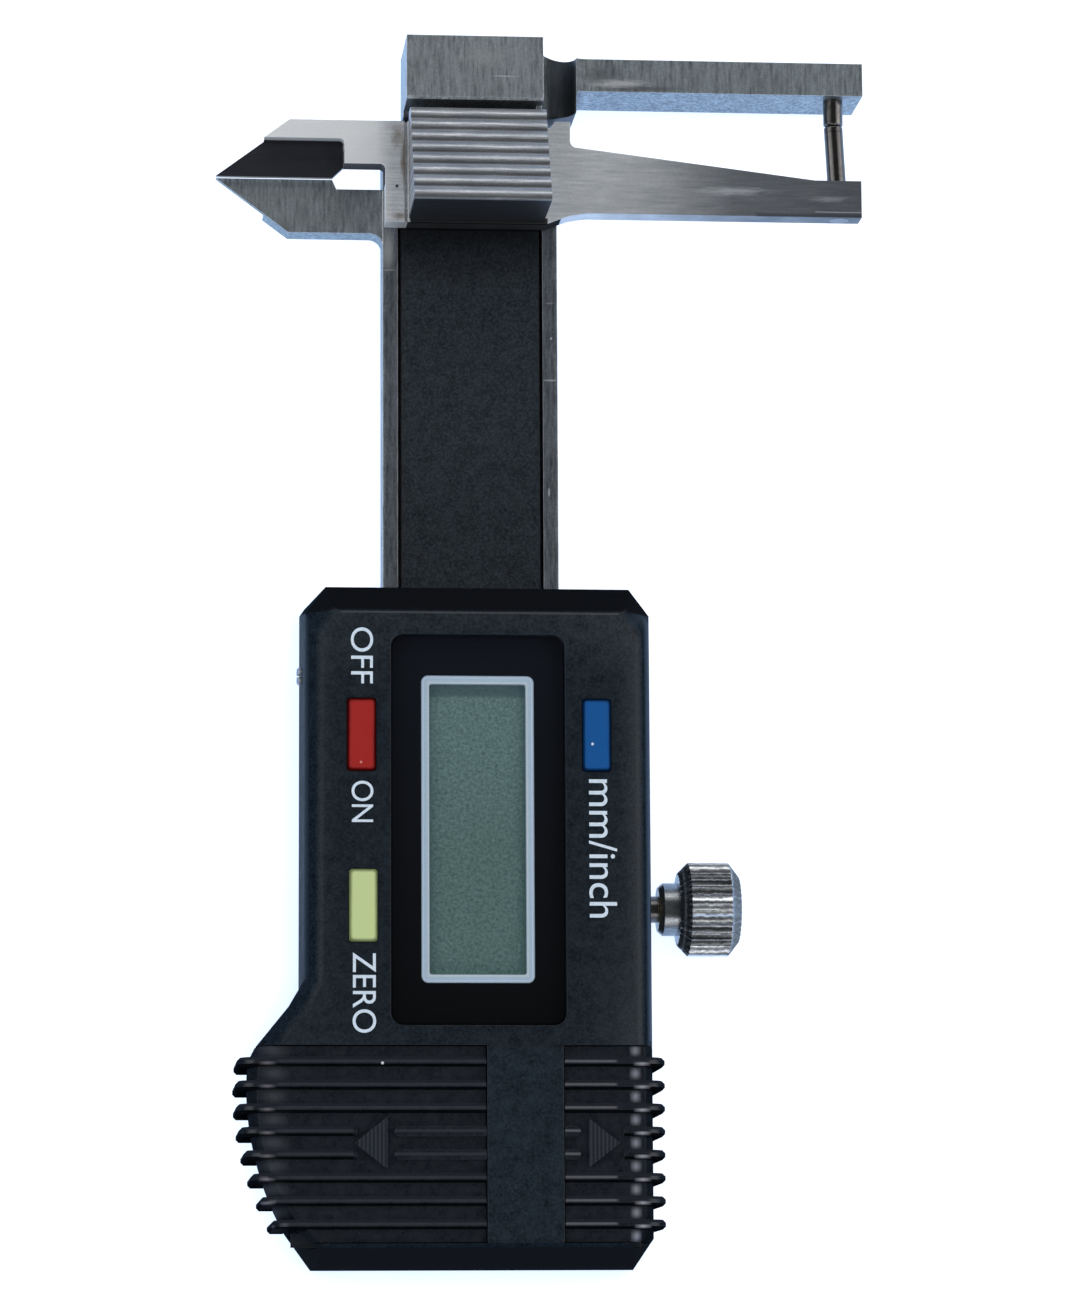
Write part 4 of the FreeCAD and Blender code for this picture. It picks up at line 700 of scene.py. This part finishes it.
def rounded_rectangle_group():
    """Distance from a plan outline with rounded corners: negative inside it."""
    tree, start, end = group("rounded_rectangle",
                             [("Vector", "NodeSocketVector", None), ("Centre", "NodeSocketVector", None),
                              ("Half", "NodeSocketVector", (0.005, 0.01, 0.0)),
                              ("Corner", "NodeSocketFloat", 0.0005)],
                             [("Distance", "NodeSocketFloat")])
    apart = vector_calc(tree, "SUBTRACT", start.outputs["Vector"], start.outputs["Centre"])
    mirrored = vector_calc(tree, "ABSOLUTE", apart)
    flat = vector_calc(tree, "MULTIPLY", mirrored, (1.0, 1.0, 0.0))
    outside = vector_calc(tree, "SUBTRACT", flat, start.outputs["Half"])
    parts = add(tree, "ShaderNodeSeparateXYZ", {0: outside})
    x, y = [calc(tree, "ADD", parts.outputs[axis], start.outputs["Corner"]) for axis in ("X", "Y")]
    past_x, past_y = [calc(tree, "MAXIMUM", side, 0.0) for side in (x, y)]
    corner = add(tree, "ShaderNodeCombineXYZ", {0: past_x, 1: past_y})
    reach = vector_calc(tree, "LENGTH", corner.outputs[0])
    most = calc(tree, "MAXIMUM", x, y)
    inner = calc(tree, "MINIMUM", most, 0.0)
    both = calc(tree, "ADD", reach, inner)
    distance = calc(tree, "SUBTRACT", both, start.outputs["Corner"])
    tree.links.new(distance, end.inputs["Distance"])
    return tree


rounded_rectangle = rounded_rectangle_group()
lcd_low, lcd_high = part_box("lcd_frame")
lcd_centre = (lcd_low + lcd_high) / 2
lcd_half = (lcd_high - lcd_low) / 2
LCD_CORNER = 0.6
WINDOW_BACK_Z = 15.3       # only the window's underside is lower than this
UNDERSIDE_LIFT = 0.02      # keeps the underside out of the plane that it lies on


def outline_distance(tree, coords, grow):
    """Distance from the silver frame's outline, moved outwards by some millimetres."""
    edge = add(tree, "ShaderNodeGroup",
               {"Vector": coords, "Centre": lcd_centre,
                "Half": (lcd_half.x + grow * MM, lcd_half.y + grow * MM, 0.0),
                "Corner": (LCD_CORNER + grow) * MM}, node_tree=rounded_rectangle)
    return edge.outputs["Distance"]


def window_glass():
    """Clear in front; its underside is printed black outside the display."""
    material, tree, shader, coords = new_finish("window_glass")
    output = tree.nodes["Material Output"]
    smears = noise(tree, coords, 90.0, 3.0)
    rough = remap(tree, smears, 0.0, 1.0, 0.05, 0.16)
    clear = add(tree, "ShaderNodeBsdfTransparent", {"Color": (0.96, 0.97, 0.98, 1.0)})
    shine = add(tree, "ShaderNodeBsdfGlossy", {"Color": (1.0, 1.0, 1.0, 1.0), "Roughness": rough})
    bend = add(tree, "ShaderNodeFresnel", {"IOR": 1.3})
    side = add(tree, "ShaderNodeNewGeometry")
    outer = calc(tree, "SUBTRACT", 1.0, side.outputs["Backfacing"])
    mirror = calc(tree, "MULTIPLY", bend.outputs[0], outer)
    glass = add(tree, "ShaderNodeMixShader", {0: mirror, 1: clear.outputs[0], 2: shine.outputs[0]})
    parts = add(tree, "ShaderNodeSeparateXYZ", {0: coords})
    under = calc(tree, "LESS_THAN", parts.outputs["Z"], WINDOW_BACK_Z * MM)
    beyond = calc(tree, "GREATER_THAN", outline_distance(tree, coords, 0.02), 0.0)
    print_mask = calc(tree, "MULTIPLY", under, beyond)
    # Painted reflection: the black print is lighter and bluer towards the top.
    along = remap(tree, parts.outputs["Y"], -10.0 * MM, 26.0 * MM)
    tree.links.new(colour_mix(tree, along, (0.0008, 0.0009, 0.0012), (0.0048, 0.0066, 0.0108)),
                   shader.inputs["Base Color"])
    shader.inputs["Specular IOR Level"].default_value = 0.1
    shader.inputs["Roughness"].default_value = 0.4
    both = add(tree, "ShaderNodeMixShader", {0: print_mask, 1: glass.outputs[0], 2: shader.outputs[0]})
    tree.links.new(both.outputs[0], output.inputs["Surface"])
    return material


window = smooth_copy("display_window", window_glass())
for corner in window.data.vertices:
    if corner.co.z < WINDOW_BACK_Z * MM:
        corner.co.z += UNDERSIDE_LIFT * MM


def silver_paint():
    """Pale silver with a fine bright line round its inner and outer edges."""
    material, tree, shader, coords = new_finish("lcd_silver")
    speckle = noise(tree, coords, 2500.0, 3.0)
    body = colour_mix(tree, speckle, (0.5, 0.63, 0.73), (0.6, 0.735, 0.835))
    distance = outline_distance(tree, coords, 0.0)
    line = calc(tree, "COMPARE", distance, -0.16 * MM, 0.09 * MM)
    lined = colour_mix(tree, line, body, (0.7, 0.8, 0.94))
    inside = calc(tree, "COMPARE", distance, -0.62 * MM, 0.07 * MM)
    tree.links.new(colour_mix(tree, inside, lined, (0.72, 0.77, 0.79)), shader.inputs["Base Color"])
    shader.inputs["Metallic"].default_value = 0.15
    shader.inputs["Roughness"].default_value = 0.4
    return material


dress("lcd_frame", silver_paint())


def lcd_surface():
    """Display glass: grey-green with the mottle of its polarising film; its painted shadows are added after
    it.
    """
    material, tree, shader, coords = new_finish("lcd_surface")
    mottle = noise(tree, coords, 3600.0, 4.0, 0.75)
    grainy = remap(tree, mottle, 0.3, 0.7)
    slow = noise(tree, coords, 120.0, 2.0)
    body = colour_mix(tree, slow, (0.165, 0.255, 0.226), (0.178, 0.272, 0.242))
    tree.links.new(colour_mix(tree, grainy, (0.058, 0.105, 0.092), body), shader.inputs["Base Color"])
    shader.inputs["Specular IOR Level"].default_value = 0.1
    shader.inputs["Roughness"].default_value = 0.45
    return material


lcd_glass = lcd_surface()
left, right, top = lcd_low.x / MM, lcd_high.x / MM, lcd_high.y / MM
# Painted shadow of the silver frame: a darker band along the top and darker strips down the left and right
# edges; then the glass is made lighter towards the top.
patch(lcd_glass, (-6.0, top - 1.9, 10.0), (6.0, top + 2.0, 16.0), (0.066, 0.100, 0.106), 0.7, 0.25)
patch(lcd_glass, (-6.0, -8.0, 10.0), (left + 1.1, 24.0, 16.0), (0.075, 0.125, 0.115), 0.5, 0.3)
patch(lcd_glass, (right - 1.1, -8.0, 10.0), (6.0, 24.0, 16.0), (0.075, 0.125, 0.115), 0.6, 0.3)
patch(lcd_glass, (-20.0, 7.0, 0.0), (20.0, 40.0, 30.0), (1.18, 1.15, 1.19), 1.0, 9.0, "MULTIPLY")
dress("lcd_panel", lcd_glass)
mask_black = moulded_plastic("black_mask", (0.002, 0.0024, 0.004), (0.003, 0.0036, 0.006), 0.4, depth=0.1)
dress("lcd_holder", mask_black)


# ---- Electronics inside --------------------------------------------------------------------------
# Circuit board with its chip, switches and the rubber strips that feed the display, and the
# contacts of the cell and of the data port.

board_green = moulded_plastic("board_green", (0.01, 0.08, 0.03), (0.015, 0.12, 0.045), 0.3,
                              grain_size=900.0, depth=0.2)
dress("circuit_board", board_green)
chip_black = moulded_plastic("chip_black", (0.012, 0.012, 0.012), (0.02, 0.02, 0.02), 0.45)
dress("controller_chip", chip_black)
dress("button_switches", chip_black)
strip_rubber = moulded_plastic("connector_rubber", (0.03, 0.03, 0.032), (0.05, 0.05, 0.05), 0.6,
                               grain_size=1500.0)
dress("lcd_connectors", strip_rubber)
spring_rubber = moulded_plastic("spring_rubber", (0.2, 0.2, 0.19), (0.3, 0.3, 0.29), 0.6, grain_size=1500.0)
for name in ("spring_on_off", "spring_zero", "spring_unit"):
    dress(name, spring_rubber)
gilt = ground_steel("contact_brass", (0.5, 0.36, 0.12), (0.75, 0.58, 0.28), 0.28, (2500.0, 800.0, 800.0),
                    edge=(0.85, 0.7, 0.4))
for name in ("battery_contact_plus", "battery_contact_minus", "data_port_contacts"):
    dress(name, gilt)
cell_steel = ground_steel("cell_steel", (0.34, 0.34, 0.345), (0.5, 0.5, 0.51), 0.3, (500.0, 3000.0, 500.0),
                          edge=(0.7, 0.7, 0.7))
cell_low, cell_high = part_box("battery")
cell_x, cell_y, _ = (cell_low + cell_high) / 2 / MM
cell_top = cell_high.z / MM
PLUS_LENGTH, PLUS_WIDTH, CELL_RIM = 1.1, 0.22, 4.6
for reach_x, reach_y in ((PLUS_LENGTH, PLUS_WIDTH), (PLUS_WIDTH, PLUS_LENGTH)):
    patch(cell_steel, (cell_x - reach_x, cell_y - reach_y, cell_top - 0.3),
          (cell_x + reach_x, cell_y + reach_y, cell_top + 0.3), BLACK, 0.8, 0.04)
ring = add(cell_steel.node_tree, "ShaderNodeGroup",
           {"Vector": object_coords(cell_steel), "Centre": (cell_x * MM, cell_y * MM, 0.0),
            "Half": (CELL_RIM * MM, CELL_RIM * MM, 0.0), "Corner": CELL_RIM * MM},
           node_tree=rounded_rectangle)
rim_line = calc(cell_steel.node_tree, "COMPARE", ring.outputs[0], 0.0, 0.12 * MM)
tint_through(cell_steel, rim_line, (0.1, 0.1, 0.105), 0.8)
smooth_copy("battery", cell_steel)


# ---- Lock screw, bush, shoe and gib --------------------------------------------------------------
# The lock screw turns in a brass bush and pushes a brass shoe against the slide bar; its knob has a knurl.

brass = ground_steel("brass", (0.42, 0.3, 0.11), (0.6, 0.45, 0.2), 0.32, (900.0, 2500.0, 2500.0),
                     edge=(0.75, 0.6, 0.3))
for name in ("gib_strip", "lock_bushing", "lock_shoe"):
    smooth_copy(name, brass)


KNOB_AXIS_Y, KNOB_AXIS_Z = 2.2, 4.7
KNURL_COUNT = 52


def knurl_light_and_shade(material, low_x, high_x):
    """Painted knurl highlights and shade: fine, irregular lines round the knob's axis, between two places."""
    tree = material.node_tree
    coords = object_coords(material)
    parts = add(tree, "ShaderNodeSeparateXYZ", {0: coords})
    y = calc(tree, "SUBTRACT", parts.outputs["Y"], KNOB_AXIS_Y * MM)
    z = calc(tree, "SUBTRACT", parts.outputs["Z"], KNOB_AXIS_Z * MM)
    angle = calc(tree, "ARCTAN2", z, y)
    rough = noise(tree, coords, 1500.0, 3.0)
    swing = calc(tree, "MULTIPLY_ADD", angle, float(KNURL_COUNT), rough)
    swung = calc(tree, "MULTIPLY_ADD", rough, 4.0, swing)
    wave = calc(tree, "SINE", swung)
    mask = inside_box(material, (low_x, KNOB_AXIS_Y - 9.0, KNOB_AXIS_Z - 9.0),
                      (high_x, KNOB_AXIS_Y + 9.0, KNOB_AXIS_Z + 9.0), 0.1)
    for low, high, colour in ((-0.1, -0.9, (0.02, 0.02, 0.025)), (0.3, 0.95, (1.0, 1.0, 1.0))):
        part = remap(tree, wave, low, high)
        lines = calc(tree, "MULTIPLY", part, mask)
        tint_through(material, lines, colour, 0.65)


# Its edges turn bluish white: a painted highlight on the bevels.
knob_steel = ground_steel("knob_steel", (0.20, 0.21, 0.22), (0.62, 0.64, 0.66), 0.24, (900.0, 2600.0, 2600.0),
                          edge=(0.9, 0.93, 1.0), edge_radius=0.05, blotch=0.5, grit=0.6, metallic=0.85)
# Painted highlights and shade of a fine knurl; the shank is made darker; a thin bright ring at the knurl's
# left end is a painted highlight; the right end is made darker.
knurl_light_and_shade(knob_steel, 19.35, 23.35)
patch(knob_steel, (8.0, -5.0, -1.0), (16.9, 10.0, 10.0), (0.10, 0.09, 0.085), 0.8, 0.1)
patch(knob_steel, (18.98, -5.0, -3.0), (19.22, 10.0, 12.0), (1.0, 1.0, 1.0), 0.9, 0.06)
patch(knob_steel, (23.3, -5.0, -3.0), (26.0, 10.0, 12.0), (0.52, 0.48, 0.42), 1.0, 0.3, "MULTIPLY")
smooth_copy("lock_screw", knob_steel, 24.0)


# ---- Buttons -------------------------------------------------------------------------------------
# Three moulded caps: red for on and off, pale yellow for zero and blue for the unit.

BUTTON_HALF = (1.25, 3.2)
BUTTON_CORNER = 0.5


def button_plastic(name, centre, rim, face):
    """Painted shade along the cap's rounded rim, with the full colour on its face."""
    made = moulded_plastic(name, [0.9 * c for c in rim], rim, 0.4, grain_size=3000.0, depth=0.15,
                           gloss=(0.05, 0.3), speck=0.0, edge=rim)
    tree = made.node_tree
    coords = object_coords(made)
    outline = add(tree, "ShaderNodeGroup",
                  {"Vector": coords, "Centre": (centre[0] * MM, centre[1] * MM, 0.0),
                   "Half": (BUTTON_HALF[0] * MM, BUTTON_HALF[1] * MM, 0.0), "Corner": BUTTON_CORNER * MM},
                  node_tree=rounded_rectangle)
    uneven = noise(tree, coords, 500.0, 3.0)
    swing = calc(tree, "MULTIPLY_ADD", uneven, 0.16 * MM, outline.outputs["Distance"])
    mask = remap(tree, swing, 0.02 * MM, -0.26 * MM)
    tint_through(made, mask, face, 1.0)
    return made


red = button_plastic("red_plastic", (-10.5, 16.45), (0.060, 0.002, 0.002), (0.36, 0.018, 0.015))
yellow = button_plastic("yellow_plastic", (-10.35, 1.35), (0.16, 0.19, 0.08), (0.57, 0.67, 0.31))
blue = button_plastic("blue_plastic", (10.3, 16.5), (0.002, 0.014, 0.05), (0.004, 0.086, 0.29))
spot(blue, (9.91, 15.69, 16.75), (0.15, 0.15, 0.3), BRIGHT, 0.9, 0.5, 0.4)
spot(red, (-10.56, 13.96, 16.75), (0.14, 0.14, 0.3), (0.7, 0.3, 0.25), 0.8, 0.5, 0.4)
smooth_copy("button_on_off", red)
smooth_copy("button_zero", yellow)
smooth_copy("button_unit", blue)


# ---- Lettering -----------------------------------------------------------------------------------
# Plain white printed words beside the buttons, which read down the housing.

def white_ink():
    """Printing ink, white with a bluish cast where it is thin."""
    material, tree, shader, coords = new_finish("white_ink")
    patchy = noise(tree, coords, 2600.0, 3.0)
    tree.links.new(colour_mix(tree, patchy, (0.5, 0.6, 0.72), (0.84, 0.93, 1.0)),
                   shader.inputs["Base Color"])
    shader.inputs["Roughness"].default_value = 0.55
    return material


ink = white_ink()
INK_THICKNESS = 0.012


def printed_word(name, words, x_range, y_range):
    """Flat letters fitted into a box; they read towards -Y with their tops towards +X."""
    curve = bpy.data.curves.new(name, "FONT")
    curve.body = words
    letters = bpy.data.objects.new(name, curve)
    bpy.context.scene.collection.objects.link(letters)
    bpy.context.view_layer.update()
    mesh = bpy.data.meshes.new_from_object(letters.evaluated_get(bpy.context.evaluated_depsgraph_get()))
    bpy.data.objects.remove(letters)
    xs = [v.co.x for v in mesh.vertices]
    ys = [v.co.y for v in mesh.vertices]
    wide = (y_range[1] - y_range[0]) / (max(xs) - min(xs))
    tall = (x_range[1] - x_range[0]) / (max(ys) - min(ys))
    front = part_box("front_housing")[1].z / MM
    for v in mesh.vertices:
        x = x_range[0] + (v.co.y - min(ys)) * tall
        y = y_range[1] - (v.co.x - min(xs)) * wide
        v.co = Vector((x, y, front)) * MM
    bm = bmesh.new()
    bm.from_mesh(mesh)
    bmesh.ops.remove_doubles(bm, verts=bm.verts, dist=0.0005 * MM)
    bmesh.ops.recalc_face_normals(bm, faces=bm.faces)
    if sum(f.normal.z for f in bm.faces) < 0:
        bmesh.ops.reverse_faces(bm, faces=bm.faces)
    lifted = bmesh.ops.extrude_face_region(bm, geom=bm.faces[:])
    for v in [g for g in lifted["geom"] if isinstance(g, bmesh.types.BMVert)]:
        v.co.z += INK_THICKNESS * MM
    bmesh.ops.recalc_face_normals(bm, faces=bm.faces)
    bm.to_mesh(mesh)
    bm.free()
    mesh.materials.clear()
    mesh.materials.append(ink)
    piece = mesh_object(name, mesh)
    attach(piece, "frame")


printed_word("word_off", "OFF", (-11.45, -9.48), (20.98, 25.98))
printed_word("word_on", "ON", (-11.38, -9.46), (8.68, 12.33))
printed_word("word_zero", "ZERO", (-11.28, -9.22), (-9.82, -2.80))
printed_word("word_unit", "mm/inch", (9.56, 12.04), (0.33, 12.58))
